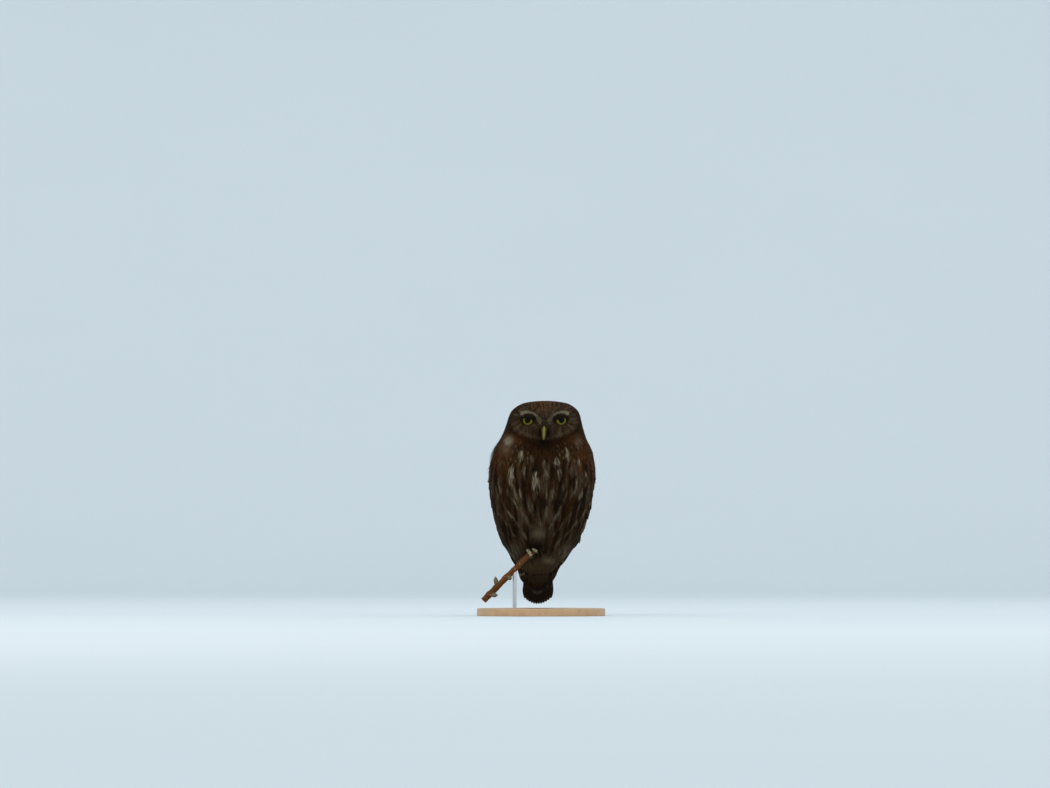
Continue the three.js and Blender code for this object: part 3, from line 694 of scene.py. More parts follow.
def feather_piece(name, points, template, roots_on_map, material, slot, notes):
    """One mesh of many vanes, with its notes and its OFBake map."""
    count, size = points.shape[:2]
    along, across, _, faces = template
    all_faces = (faces[None] + np.arange(count)[:, None, None] * size).reshape(-1, 3)
    made = piece(name, points.reshape(-1, 3), all_faces, material, slot)
    spread_out = np.stack([across * 0.5, np.clip(along, 0, 1) - 0.5], -1) * PATCH
    lay_out(made, (np.clip(roots_on_map, 0.004, 0.996)[:, None] + spread_out).reshape(-1, 2))
    shape = (count, size)
    note(made, "along", np.broadcast_to(along, shape))
    note(made, "across", np.broadcast_to(across, shape))
    for key, values in notes.items():
        note(made, key, np.broadcast_to(values if values.ndim == 2 else values[:, None], shape))
    print(name, count, "vanes", len(all_faces), "triangles")
    return made


# %% [markdown]
# ## Marks of the plumage
# A little owl is brown with pale marks: drops on the breast, streaks that run together on the belly,
# fine flecks on the crown, round spots on the nape and back, and a white brow. A texture image would
# fix them to one view. Here each mark is a drop shape with a place, a direction and a size, and the
# skin and every feather ask the same drops how pale they are.

# %% Marks of the plumage
class Drops:
    """Pale marks on the form, longer than wide, and widest near their lower end."""

    def __init__(self, centres, lengths, widths, strengths):
        self.at, self.normal = bird_form.nearest(centres)
        flow = coat_flow(self.at)
        self.along = unit(flow - self.normal * dot(flow, self.normal))
        self.side = np.cross(self.along, self.normal)
        self.size = np.stack([lengths, widths], -1) / 2
        self.strength = strengths

    def join(self, other):
        for key, mine in vars(self).items():
            setattr(self, key, np.concatenate([mine, vars(other)[key]]))
        return self

    def pale(self, anchors, places, nearby=5):
        """How pale the marks near each anchor make its places. Places are (anchor, point, 3).

        Each feather carries its own share of a mark, a little out of line, so that the mark's edge
        is ragged.
        """
        rng = np.random.default_rng(len(anchors))
        slip = rng.uniform(-0.35, 0.35, (2, len(anchors), 1))
        share = rng.uniform(0.6, 1, (len(anchors), 1))
        tree = kdtree.KDTree(len(self.at))
        for i, at in enumerate(self.at.tolist()):
            tree.insert(at, i)
        tree.balance()
        near = np.array([[i for _, i, _ in tree.find_n(a, nearby)] for a in anchors.tolist()])
        level = np.zeros(places.shape[:2])
        for k in range(nearby):
            drop = near[:, k]
            away = places - self.at[drop][:, None]
            run = (away * self.along[drop][:, None]).sum(-1) / self.size[drop, :1] + slip[0]
            wide = (away * self.side[drop][:, None]).sum(-1) / self.size[drop, 1:] + slip[1]
            wide = wide / (0.8 + 0.35 * np.clip(run, -1, 1))
            inside = 1 - smooth(np.hypot(run, wide), 0.35, 1.2)
            level = np.maximum(level, inside * self.strength[drop][:, None])
        return level * share


def front_place(x, h):
    """A place on the bird's front, from its distance beside the middle and its height."""
    share = np.clip(x / half_width(h), -0.99, 0.99)
    angle = np.arcsin(np.sign(share) * np.abs(share) ** (SECTION_POWER / 2))
    return bird_point(angle, h)


# Beside the middle, height, length, width and strength: the clear drops of the upper breast
BREAST_DROPS = [
    (-24, 157.5, 15, 7, 0.95),
    (25.6, 158, 16, 6.6, 0.9),
    (14.6, 150.5, 12, 7.4, 0.85),
    (1.2, 148.5, 10, 5, 0.4),
    (-12, 154, 9, 4, 0.4),
    (-33, 138, 25, 8.6, 1.15),
    (-19, 139, 15, 5, 0.5),
    (-7, 130.5, 24, 9.8, 1.15),
    (4, 138, 14, 6, 0.6),
    (18, 138, 15, 6, 0.65),
    (31, 141, 15, 5.6, 0.5),
    (36.4, 125, 18, 5.4, 0.55),
    (46, 138, 13, 5.4, 0.5),
    (42, 117, 18, 5.8, 0.75),
    (-44, 149, 12, 5.4, 0.5),
    (-45, 124, 16, 5.4, 0.6),
    (38, 150, 12, 5.6, 0.7),
    (-28, 118, 18, 5, 0.5),
    (12, 118, 17, 5, 0.5),
    (25, 112, 18, 4.6, 0.45),
]


def breast_drops():
    x, h, length, width, strength = np.array(BREAST_DROPS, float).T
    return Drops(front_place(x, h), length, width, strength)


def belly_streaks(rng):
    """Long narrow streaks in staggered rows that run together between the feet."""
    rows = []
    for row, h in enumerate(np.arange(118, 62, -11)):
        for share in np.arange(-0.88, 0.9, 0.25) + 0.125 * (row % 2):
            jitter = rng.uniform(-1, 1, 2)
            rows.append((share * half_width(h) + 1.4 * jitter[0], h + 2.4 * jitter[1]))
    x, h = np.array(rows).T
    count = len(rows)
    dark_middle = 1 - 0.75 * bell(x, 13) * (1 - smooth(h, 68, 92))
    return Drops(
        front_place(x, h),
        rng.uniform(13, 25, count),
        rng.uniform(2.8, 5.2, count),
        rng.uniform(0.15, 0.6, count) * dark_middle,
    )


def scattered_marks(seed, spacing, wanted, length, width, strength):
    centres = scatter(bird_form, lambda p: np.full(len(p), spacing), wanted, seed)
    rng = np.random.default_rng(seed)
    count = len(centres)
    return Drops(
        centres,
        rng.uniform(0.7, 1.25, count) * length,
        rng.uniform(0.7, 1.25, count) * width,
        rng.uniform(0.6, 1, count) * strength,
    )


BROW = [(3.2, 190), (6, 195.2), (9.5, 198.6), (15, 201.2), (20, 202.2), (23.5, 201.7)]


def path_distance(x, h, path):
    least = np.full(np.shape(x), 1e9)
    for (x0, h0), (x1, h1) in zip(path, path[1:]):
        run, climb = x1 - x0, h1 - h0
        t = np.clip(((x - x0) * run + (h - h0) * climb) / (run**2 + climb**2), 0, 1)
        least = np.minimum(least, np.hypot(x - x0 - t * run, h - h0 - t * climb))
    return least


def on_crown(p):
    x, h, angle = chart(p)
    forehead = (h > 198) & (np.abs(x) < 12 + (h - 198)) & (path_distance(np.abs(x), h, BROW) > 2.5)
    return forehead | (h > 207) | (h > 186) & (np.abs(angle) > 1.6)


def on_collar(p):
    x, h, angle = chart(p)
    return (np.abs(angle) < 1.7) & (h > 148) & (h < 170) & (np.abs(x) > 13)


def on_nape(p):
    _, h, angle = chart(p)
    return (h > 150) & (h < 188) & (np.abs(angle) > 1.75)


def on_mantle(p):
    _, h, angle = chart(p)
    return (h > 66) & (h < 152) & (np.abs(angle) > 1.9)


marks = breast_drops()
marks.join(belly_streaks(np.random.default_rng(5)))
marks.join(scattered_marks(6, 3.3, on_crown, 5.0, 1.7, 0.5))
marks.join(scattered_marks(10, 4.6, on_collar, 4.4, 2.4, 0.4))
marks.join(scattered_marks(7, 7.5, on_nape, 5.0, 3.4, 0.9))
marks.join(scattered_marks(8, 12, on_mantle, 6.5, 5.0, 0.95))
print("pale marks:", len(marks.at))

# %% [markdown]
# ## Tints of the plumage
# Between the marks the brown itself changes: rusty beside the neck, nearly black round the eyes and
# under the bill, ashy on the face, pale at the vent and on the legs. Round the feet it is darkened
# as a painted shadow under the belly's feathers. Each tint is a soft region in the chart of the
# body, so it can be moved in millimetres.

# %% Tints of the plumage
STREAK_COLUMNS = 17
STREAK_LONG = 17.0
streak_rows = np.random.default_rng(4).uniform(0, 1, (84, 24))
streak_start = np.random.default_rng(9).uniform(0, 6, 84)


def streaks(angle, h):
    """A soft random pattern from 0 to 1, long down the body and about 3 mm wide across it."""
    across = np.clip(angle, -2.3, 2.3) * STREAK_COLUMNS + 41
    column = np.floor(across).astype(int)

    def level(k):
        down = h / STREAK_LONG + streak_start[k]
        row = np.floor(down).astype(int)
        return mix(streak_rows[k, row], streak_rows[k, row + 1], smooth(down - row, 0, 1))

    return mix(level(column), level(column + 1), smooth(across - column, 0, 1))


def tints(places):
    """Pale, rusty, dark and streaky shares of the plumage at places on the form."""
    x, h, angle = chart(places)
    beside = np.abs(x)
    ahead = 1 - smooth(np.abs(angle), 1.2, 1.6)
    rim = disc_rim(x, h)
    eye = from_eye(x, h)
    in_disc = ahead * (1 - smooth(rim, 0.9, 1.04)) * (1 - smooth(h, 205, 210)) * smooth(h, 170, 176)
    off_brow = path_distance(beside, h, BROW)
    brow = mix(0.32, 1, smooth(beside, 7, 13)) * (1 - smooth(off_brow, 1.2, 3.4)) * ahead
    lower_arc = 0.16 * bell(rim - 0.84, 0.07) * ahead * (1 - smooth(h, 186, 194))
    olive = 0.16 * (1 - smooth(h, 50, 62))
    vent = 0.5 * bell(h - 46, 5) * bell(x - 11, 8) + 0.45 * bell(h - 54, 9) * bell(beside - 28, 8)
    grey_patch = 0.35 * bell(x + 1, 8) * bell(h - 74, 7) * ahead
    collar = mix(0.95, 0.25, x > 0) * bell(h - 172, 5) * bell(beside - 37.5, 4.5) * ahead
    warm = bell(x + 40, 6) * bell(h - 164, 6) * ahead
    ray = np.arctan2(h - EYE_HEIGHT, beside - EYE_X)
    lines = streaks(0.73 * ray, 1.2 * np.minimum(eye, 40) + 60 * (x > 0))
    ashy = mix(0.05, 0.17, smooth(lines, 0.4, 0.8)) * in_disc
    body = (1 - smooth(h, 142, 160)) * (1 - smooth(np.abs(angle), 1.25, 1.6)) * smooth(h, 40, 60)
    streak = streaks(angle, h)
    lit = 0.11 * smooth(streak, 0.52, 0.82) * body
    pale = np.maximum.reduce(
        [ashy, brow, lower_arc, vent, olive, grey_patch, collar, 0.28 * warm, lit]
    )
    cheek = bell(h - 175, 6) * bell(beside - 31, 8) * ahead
    shoulder = smooth(beside, 26, 42) * bell(h - 156, 18) * ahead
    forehead = 0.3 * bell(beside, 11) * smooth(h, 197, 205) * ahead
    rust = np.clip(np.maximum.reduce([0.45 * cheek, 0.45 * shoulder, forehead, warm]), 0, 1)
    from_lids = np.hypot((beside - EYE_X) / 1.2, (h - EYE_HEIGHT) / 0.84)
    socket = 0.95 * (1 - smooth(from_lids, 5.9, 8.0)) * ahead
    unbrowed = 1 - smooth(brow, 0.05, 0.3)
    rays = 0.4 * (1 - smooth(lines, 0.15, 0.45)) * in_disc * unbrowed
    front_crown = 0.35 * bell(beside, 12) * bell(h - 200, 7) * ahead * unbrowed
    beside_bill = bell(beside - 5, 3.6) * bell(h - 181, 8) * ahead
    chin = bell(beside, 12) * bell(h - 170, 6) * ahead
    ruff = 0.5 * bell(rim - 1.04, 0.08) * ahead * (1 - smooth(h, 196, 204))
    # Painted shadow: the plumage, legs and toes round the feet are darkened where the belly's feathers
    # overhang them.
    feet = bell(x + 3, 10) * bell(h - 60, 9) * ahead
    shade = 0.85 * (1 - smooth(streak, 0.2, 0.5)) * body
    deep = np.maximum.reduce(
        [socket, rays, front_crown, 0.85 * beside_bill, 0.9 * chin, ruff, feet]
    )
    return pale * (1 - 0.8 * socket), rust, np.clip(deep, 0, 1), shade


# %% [markdown]
# ## What feathers are made of
# Feathers are keratin, grown as a shaft with barbs and coloured by melanin. They are matt and have
# no gloss. The browns run from nearly black at the root to buff at a worn tip. A wave across the
# web draws the barbs. Real ones are about 0.3 mm apart, and these are drawn at 0.7 mm so that they
# show.

# %% What feathers are made of
BROWN = "#301c09"
DARK_BROWN = "#100a05"
RUST = "#5a3214"
BUFF = "#837963"
SHAFT = "#150d07"
BARB = 0.7


def value_of(tree, name):
    return add(tree, "Attribute", attribute_name=name).outputs["Fac"]


def plumage_colour(tree, brown, dark, pale_colour):
    """The brown of the coat with its tints and marks, from the notes on the mesh."""
    mottle = noise(tree, object_place(tree), 260.0, 3.0)
    colour = blend(tree, mottle, linear(dark), linear(brown))
    colour = blend(tree, 0.55, colour, linear(brown))
    colour = blend(tree, value_of(tree, "rust"), colour, linear(RUST))
    colour = blend(tree, value_of(tree, "pale"), colour, linear(pale_colour))
    return blend(tree, value_of(tree, "deep"), colour, linear(DARK_BROWN))


def barbs(tree, across_per_barb, along_per_barb):
    """Fine slanting lines over the web, darkest between the barbs."""
    out = sums(tree, "ABSOLUTE", value_of(tree, "across"))
    phase = sums(
        tree,
        "MULTIPLY_ADD",
        value_of(tree, "along"),
        along_per_barb,
        sums(tree, "MULTIPLY", out, -across_per_barb),
    )
    return sums(tree, "SINE", phase), out


def feather_material(name, brown=BROWN, dark=DARK_BROWN, pale_colour=BUFF, length=14.0, half=3.0):
    """Keratin of a small feather: matt, with fine lines of barbs and a darker quill."""
    material, tree, shader = start_material(name, 0.75, Specular_IOR_Level=0.04)
    turns = 2 * math.pi / BARB
    wave, out = barbs(tree, turns * half * 0.9, turns * length)
    colour = plumage_colour(tree, brown, dark, pale_colour)
    tone = value_of(tree, "tone")
    lit = sums(tree, "MULTIPLY_ADD", wave, 0.09, tone)
    rooted = spread(tree, value_of(tree, "along"), 0.1, 0.75, 0.75, 1.0)
    colour = dimmed(tree, colour, sums(tree, "MULTIPLY", lit, rooted))
    quill = spread(tree, out, 0.16, 0.04, 0.0, 0.3)
    colour = blend(tree, quill, colour, linear(SHAFT))
    paint(tree, shader, colour)
    bump(tree, shader, wave, 0.25, 0.06)
    return material


contour = feather_material("contour feather keratin")
print("barb spacing:", BARB, "mm")

# %% [markdown]
# ## Skin
# Under the feathers lies one skin from the vent to the crown, legs and lids included, so no seam
# shows where the plumage parts. It follows the form of the bird, sunk in by the depth of the coat. A
# channel under the belly leaves room for the twig and the feet, cut with a Boolean modifier, which
# is quicker than weaving that hole into the grid.

# %% Skin
TWIG_RADIUS = 3
TWIG_ROUTE = [
    (-61, -15, 16),
    (-46, -15.5, 31.5),
    (-30, -15, 47),
    (-17, -14, 60.5),
    (-6, -12.5, 69.5),
    (7, -10.5, 74),
    (19, -8, 75.5),
]


def spline(points, t):
    """A centripetal Catmull-Rom curve through points, at shares t of its length in points."""
    points = np.array(points, float)
    first, last = 2 * points[0] - points[1], 2 * points[-1] - points[-2]
    posts = np.vstack([first, points, last])
    t = np.clip(np.asarray(t, float), 0, 1) * (len(points) - 1)
    i = np.minimum(t.astype(int), len(points) - 2)
    f = (t - i)[..., None]
    p0, p1, p2, p3 = (posts[i + k] for k in range(4))

    def gap(a, b):
        return np.maximum(1e-4, np.linalg.norm(b - a, axis=-1, keepdims=True) ** 0.5)

    d0, d1, d2 = gap(p0, p1), gap(p1, p2), gap(p2, p3)
    start = ((p1 - p0) / d0 - (p2 - p0) / (d0 + d1) + (p2 - p1) / d1) * d1
    end = ((p2 - p1) / d1 - (p3 - p1) / (d1 + d2) + (p3 - p2) / d2) * d1
    u = 1 - f
    return p1 * (1 + 2 * f) * u * u + p2 * (3 - 2 * f) * f * f + start * f * u * u - end * u * f * f


def twig_frame(t):
    """Places on the twig's line, with the ways along it, towards the viewer and up."""
    t = np.asarray(t, float)
    at = spline(TWIG_ROUTE, t)
    along = unit(spline(TWIG_ROUTE, t + 0.002) - spline(TWIG_ROUTE, t - 0.002))
    forward = np.array([0, -1, 0]) + 0 * along
    forward = unit(forward - along * dot(forward, along))
    return at, along, forward, np.cross(forward, along)


def twig_share(x):
    shares = np.linspace(0, 1, 4001)
    return float(np.interp(x, spline(TWIG_ROUTE, shares)[:, 0], shares))


def rings_to_body(rings):
    """Points and triangles of a closed body through rings of points (ring, point, 3)."""
    rows, columns = rings.shape[:2]
    points = np.vstack([rings.reshape(-1, 3), rings[0].mean(0), rings[-1].mean(0)])
    faces = grid_faces(rows, columns)
    k = np.arange(columns)
    onward = (k + 1) % columns
    first, last, top = rows * columns, rows * columns + 1, (rows - 1) * columns
    start = np.stack([onward, k, np.full(columns, first)], -1)
    end = np.stack([top + k, top + onward, np.full(columns, last)], -1)
    faces = np.vstack([faces, start, end])
    corners = points[faces]
    volume = (corners[:, 0] * np.cross(corners[:, 1], corners[:, 2])).sum()
    return points, faces if volume > 0 else faces[:, ::-1]


def joined(bodies):
    """Several bodies as one list of points and one of faces."""
    starts = np.cumsum([0] + [len(points) for points, _ in bodies[:-1]])
    return (
        np.vstack([points for points, _ in bodies]),
        np.vstack([faces + start for (_, faces), start in zip(bodies, starts)]),
    )


def tube(at, across, up, radius, sides=16):
    """A closed tube: places, two ways across them, and a radius at each."""
    turn = np.linspace(0, 2 * math.pi, sides, endpoint=False)[None, :, None]
    radius = np.broadcast_to(radius, len(at))[:, None, None]
    ring = np.cos(turn) * across[:, None] + np.sin(turn) * up[:, None]
    return rings_to_body(at[:, None] + radius * ring)


def face_share(x, h, angle):
    ahead = 1 - smooth(np.abs(angle), 1.15, 1.6)
    return ahead * (1 - smooth(disc_rim(x, h), 0.95, 1.2)) * smooth(h, 167, 175)


def by_place(places, body, head, face):
    """A size that changes over the bird: on the body, front and back, on the head and the face."""
    x, h, angle = chart(places)
    front, back = body if isinstance(body, tuple) else (body, body)
    body = mix(front, back, smooth(np.abs(angle), 1.7, 2.3))
    level = mix(body, head, smooth(h, 160, 184))
    return mix(level, face, face_share(x, h, angle))


def sunk(angle, h):
    at = bird_point(angle, h)
    out = normal_of(bird_point, angle, h)
    return at - out * by_place(at, (2.6, 3.1), 0.9, 0.6)[..., None]


SKIN_COLUMNS = 160
skin_angles = np.linspace(0, 2 * math.pi, SKIN_COLUMNS, endpoint=False)
skin_heights = ring_heights([0.5, 1, 2, 4, 7, 11], 100, CROWN - 0.6, 22)
trunk = rings_to_body(sunk(*np.meshgrid(skin_angles, skin_heights)))

FOOT_X = {1: 10.5, -1: -9.5}
HIP = (19, -2, TAIL_TIP_Z + 84)


def foot_frame(side):
    """The twig's frame under a foot."""
    return twig_frame(twig_share(FOOT_X[side]))


def leg_line(side, t):
    at, _, _, up = foot_frame(side)
    ankle = at + up * (TWIG_RADIUS + 6.2)
    hip = np.array([side * HIP[0], *HIP[1:]])
    return spline([ankle, mix(ankle, hip, 0.45) + np.array([0, -1.5, 0]), hip], t)


def leg_tube(side, thinner):
    t = np.linspace(0, 0.8, 14)
    at = leg_line(side, t)
    ahead = unit(np.gradient(at, axis=0))
    across = unit(np.cross(ahead, [0, -1, 0]))
    return tube(at, across, np.cross(ahead, across), mix(3.4, 8, t) - thinner, 20)


# Half the opening between the lids: sideways, above and below the middle, and how far the upper
# lid slants down to the bill
LID_WIDE = 5.9
LID_HIGH = 1.9
LID_LOW = 5.0
LID_FROWN = math.radians(13)
LID_OUTER = math.radians(57)
# Radius about the middle of the eye, from the edge of the lid outward
LID_SECTION = [(0.015, 8.6), (0.1, 9.0), (0.3, 9.2), (0.65, 9.0), (1, 8.4)]


def lid_place(side, turn, share, radius):
    """A place on the lid, by the turn about the gaze and the share from its edge outward."""
    look, right, top = gaze_frame(side)
    drawn = turn + side * LID_FROWN
    half_open = mix(LID_LOW, LID_HIGH, smooth(np.sin(drawn), -0.25, 0.35))
    reach = LID_WIDE * half_open / np.hypot(half_open * np.cos(drawn), LID_WIDE * np.sin(drawn))
    away = mix(np.arcsin(reach / 8.4), LID_OUTER, share)
    outward = np.cos(turn)[:, None] * right + np.sin(turn)[:, None] * top
    ray = np.cos(away)[:, None] * look + np.sin(away)[:, None] * outward
    return eye_centre(side) + np.broadcast_to(radius, len(turn))[:, None] * ray


def lid(side):
    """A rounded rim of skin on the eyeball. The upper lid hides the top of the iris."""
    turn = np.linspace(0, 2 * math.pi, 72, endpoint=False)
    inside = [(0, 8.25), *LID_SECTION, (1, 7.2), (0.15, 7.4)]
    rings = np.array([lid_place(side, turn, share, radius) for share, radius in inside])
    return rings.reshape(-1, 3), grid_loop(*rings.shape[:2])


def grid_loop(rows, columns):
    """Triangles over a grid that closes on itself both ways."""
    r, c = np.meshgrid(np.arange(rows), np.arange(columns))
    r, c = r.ravel(), c.ravel()
    a, b = r * columns + c, r * columns + (c + 1) % columns
    d, e = (r + 1) % rows * columns + c, (r + 1) % rows * columns + (c + 1) % columns
    return np.concatenate([np.stack([a, d, e], -1), np.stack([a, e, b], -1)])


def foot_room():
    """A channel round the twig and the feet, open below."""
    t = np.linspace(twig_share(-31), 1, 9)
    at, _, forward, up = twig_frame(t)
    corners = [at + forward * out + up * rise for out, rise in ((9, 4), (6, 10), (-6, 10), (-9, 4))]
    corners += [at + np.array([0, 9, -26]), at + np.array([0, -15, -26])]
    rings = np.stack(corners, 1)
    rings[-1, :, 0] += 6
    return rings_to_body(rings)


def plain_object(name, body):
    mesh = bpy.data.meshes.new(name)
    mesh.from_pydata((body[0] * MM).tolist(), [], body[1].tolist())
    made = bpy.data.objects.new(name, mesh)
    bpy.context.scene.collection.objects.link(made)
    return made


def difference(body, taken):
    """A body with another one cut out of it, as points and triangles again."""
    made, cutter = plain_object("whole", body), plain_object("cutter", taken)
    change = made.modifiers.new("cut", "BOOLEAN")
    change.operation, change.solver, change.object = "DIFFERENCE", "MANIFOLD", cutter
    bpy.context.view_layer.update()
    result = made.evaluated_get(bpy.context.evaluated_depsgraph_get()).to_mesh()
    result.calc_loop_triangles()
    points = np.array([v.co for v in result.vertices]) / MM
    faces = np.array([t.vertices for t in result.loop_triangles])
    for used in (made, cutter):
        bpy.data.objects.remove(used)
    return points, faces


def skin_material():
    """Skin of a bird under its down: thin, matt, and darkened like the plumage over it."""
    material, tree, shader = start_material("down-covered skin", 0.8, Specular_IOR_Level=0.04)
    colour = plumage_colour(tree, BROWN, DARK_BROWN, BUFF)
    colour = blend(tree, 0.3, colour, linear("#120c07"))
    paint(tree, shader, colour)
    bump(tree, shader, noise(tree, object_place(tree), 900.0), 0.5, 0.2)
    return material


def plumage_notes(anchors, flat, tone):
    """Tints and marks of places (anchor, point, 3) over the form."""
    pale, rust, deep, shade = tints(flat)
    mark = marks.pale(anchors, flat)
    return {
        "pale": np.maximum(pale, mark * (1 - 0.8 * deep)),
        "rust": rust * (1 - mark),
        "deep": np.maximum(deep, shade * (1 - mark)),
        "tone": tone,
    }


skin_parts = joined(
    [
        difference(trunk, foot_room()),
        *[leg_tube(side, 1.2) for side in (-1, 1)],
        *[lid(side) for side in (-1, 1)],
    ]
)
skin = piece("owl_skin", *skin_parts, skin_material(), "plumage")
for key, values in plumage_notes(skin_parts[0], skin_parts[0][:, None], np.ones((1, 1))).items():
    note(skin, key, np.broadcast_to(values, (len(skin_parts[0]), 1)))
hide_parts("head", "neck", "torso", "leg_left", "leg_right")
print("skin:", len(skin_parts[1]), "triangles")

# %% [markdown]
# ## The coat
# Feathers are shortest on the face and longest on the belly. Each starts deep at the skin and comes
# up to the outline at its tip, over the roots of the next ones, like shingles. Sorting them into
# zones keeps every mesh small enough to handle and lets each zone be looked at by itself.

# %% The coat
WING_EDGE = [(12, 146), (30, 124), (45, 102), (60, 84), (80, 72), (100, 66), (120, 63), (156, 66)]
WING_TOP = 156
WING_BACK = math.radians(175.5)
wing_edge = curve_through([(h, math.radians(degrees)) for h, degrees in WING_EDGE])


def near_twig(places):
    """Distance of places from the twig's line, seen from the front."""
    line = spline(TWIG_ROUTE, np.linspace(0, 1, 40))[:, [0, 2]]
    return np.linalg.norm(places[..., None, [0, 2]] - line, axis=-1).min(-1)


def coat_wanted(places):
    x, h, angle = chart(places)
    turn = np.abs(angle)
    under_wing = (h < 151) & (turn > wing_edge(h) + 0.1)
    mantle = turn > mix(2.95, 2.3, smooth(h, 95, 150))
    bare = under_wing & ~(mantle & (h > 68))
    facing = turn < 1.4
    bare |= facing & (from_eye(x, h) < 6.7)
    bare |= facing & (np.hypot(x / 2.8, (h - 181.5) / 6.5) < 1)
    bare |= (near_twig(places) < 8) & (places[..., 1] < 2) & (h < 72) & (x < 14)
    bare |= (h < 57) & (turn > 2)
    return ~bare


def coat_spacing(places):
    return by_place(places, (1.9, 2.4), 1.32, 0.9)


def coat_zones(roots):
    """The zones of the coat, and which roots lie in each."""
    x, h, angle = chart(roots)
    ahead = np.abs(angle) < 2.0
    on_face = face_share(x, h, angle) > 0.5
    on_head = ~on_face & (h > 152)
    return {
        "coat_face": on_face,
        "coat_crown": on_head & (h > 176) & ahead,
        "coat_nape": on_head & ~ahead,
        "coat_neck_sides": on_head & (h <= 176) & ahead,
        "coat_mantle": (h <= 152) & ~ahead,
        "coat_breast": ~on_face & (h > 116) & (h <= 152) & ahead,
        "coat_belly": (h > 57) & (h <= 116) & ahead,
        "coat_vent": (h <= 57) & ahead,
    }


roots = scatter(bird_form, coat_spacing, coat_wanted, 11)
meridian_heights = np.linspace(VENT_END, CROWN, 400)
meridian_run = np.cumsum(
    np.hypot(
        np.gradient(half_width(meridian_heights)),
        np.gradient(meridian_heights),
    )
)


def on_unwrap(places):
    """Place on an unwrap of the bird's form: round the bird, and up along it."""
    _, h, angle = chart(places)
    up = np.interp(h, meridian_heights, meridian_run / meridian_run[-1])
    return np.stack([angle / (2 * math.pi) + 0.5, up], -1)


SMALL_VANE = vane_template(4, 3, 0.84, 0.16)
BODY_VANE = vane_template(7, 3, 0.88, 0.14)
# The share of feathers whose tips stand loose, and how much further each wing's front stands out
LOOSE_SHARE = 0.06
WING_FULLER = {1: 1.8, -1: 0.0}


def fuller(places):
    """How much further the tips stand out, on the left flank and the right side of the neck."""
    x, h, _ = chart(places)
    beside = x / np.maximum(1, half_width(h))
    flank = 2.0 * smooth(beside, 0.3, 0.9) * bell(h - 86, 32)
    neck = 2.2 * smooth(-beside, 0.5, 0.95) * bell(h - 169, 9)
    return flank + neck


def grow(
    name, form, roots, flow, size, template, material, seed,
    slot="plumage", unwrap=on_unwrap, web=soft_web,
):
    """A zone of the coat. Size gives length, half width and depth of the root for each feather."""
    rng = np.random.default_rng(seed)
    count = len(roots)
    vary = rng.uniform(0.85, 1.15, (2, count))
    length, half, root_depth = size(roots)
    rows = 4 if template is SMALL_VANE else 7
    spines = walk(form, roots, flow, length * vary[0], rows, 0.12, rng)
    tip = rng.uniform(-0.2, 0.3, count)[:, None] * np.minimum(1, root_depth / 3)[:, None]

    loose = rng.uniform(0.5, 2.0, count) * (rng.uniform(0, 1, count) < LOOSE_SHARE)
    loose = (loose * (root_depth > 2))[:, None]
    raised = fuller(roots)[:, None]

    def sink(along):
        depth = root_depth[:, None] * np.maximum(0, 1 - along) ** 1.4 + tip
        return depth - loose * along**2 - raised * along

    points, flat = bend_vanes(spines, template, half * vary[1], web, sink, 0.16, 0.02, rng)
    anchors = spines[0][:, spines[0].shape[1] // 2]
    notes = plumage_notes(anchors, flat, np.clip(1 + 0.13 * rng.standard_normal(count), 0.7, 1.3))
    return feather_piece(name, points, template, unwrap(roots), material, slot, notes)


def coat_size(places):
    x, h, _ = chart(places)
    eyeward = mix(0.6, 1, smooth(from_eye(x, h), 7, 13))
    length = by_place(places, (15.5, 13), 8.4, 6.2) * np.where(h > 180, eyeward, 1)
    half = by_place(places, (1.5, 2.35), 0.88, 0.48)
    return length, half, by_place(places, (2.5, 2.9), 1.2, 0.65)


def fringe_wanted(places):
    x, h, angle = chart(places)
    return (np.abs(angle) < 1.3) & (h > 66) & (h < 76) & (x > -4)


def fringe_size(places):
    return np.full(len(places), 22.0), np.full(len(places), 1.8), np.full(len(places), 2.6)


for seed, (name, chosen) in enumerate(coat_zones(roots).items(), 21):
    template = SMALL_VANE if name == "coat_face" else BODY_VANE
    web = body_web if name == "coat_mantle" else soft_web
    grow(name, bird_form, roots[chosen], coat_flow, coat_size, template, contour, seed, web=web)
fringe = scatter(bird_form, lambda p: np.full(len(p), 1.8), fringe_wanted, 31)
grow("belly_fringe", bird_form, fringe, coat_flow, fringe_size, BODY_VANE, contour, 32)

# %% [markdown]
# ## Wings
# A folded wing shows its feathers in tiers: the tips of the primaries low down, then secondaries,
# five tiers of coverts and the scapulars over the shoulder. The lowest tier lies deepest, and in
# each tier the rear feather lies over the one in front of it. Each vane is placed by the angle and
# height of its root and tip on the wing's surface, as the solids are, only finer and closer.

# %% Wings
WING_REAR = 40.5
ROOT_DEPTH = 5.3
FLIGHT_VANE = vane_template(22, 5, 0.965, 0.1)
COVERT_VANE = vane_template(12, 5, 0.9, 0.12)


def wing_surface(angle, h):
    rear = middle_y(h) + half_depth(h)
    middle = mix(WING_REAR, middle_y(h), smooth(h, 25, 82))
    x = lean(h) + half_width(h) * oval(np.sin(angle))
    y = middle - (rear - middle) * oval(np.cos(angle))
    return np.stack(np.broadcast_arrays(x, y, TAIL_TIP_Z + h), -1)


def wing_out(side, angle, h):
    """The way out of the wing: across its surface, or straight back behind the tail."""
    out = normal_of(lambda a, up: wing_surface(side * a, up), angle, h) * side
    flat = (1 - smooth(h, 30, 78))[..., None]
    return unit(mix(out, np.array([0.0, 1, 0]), flat))


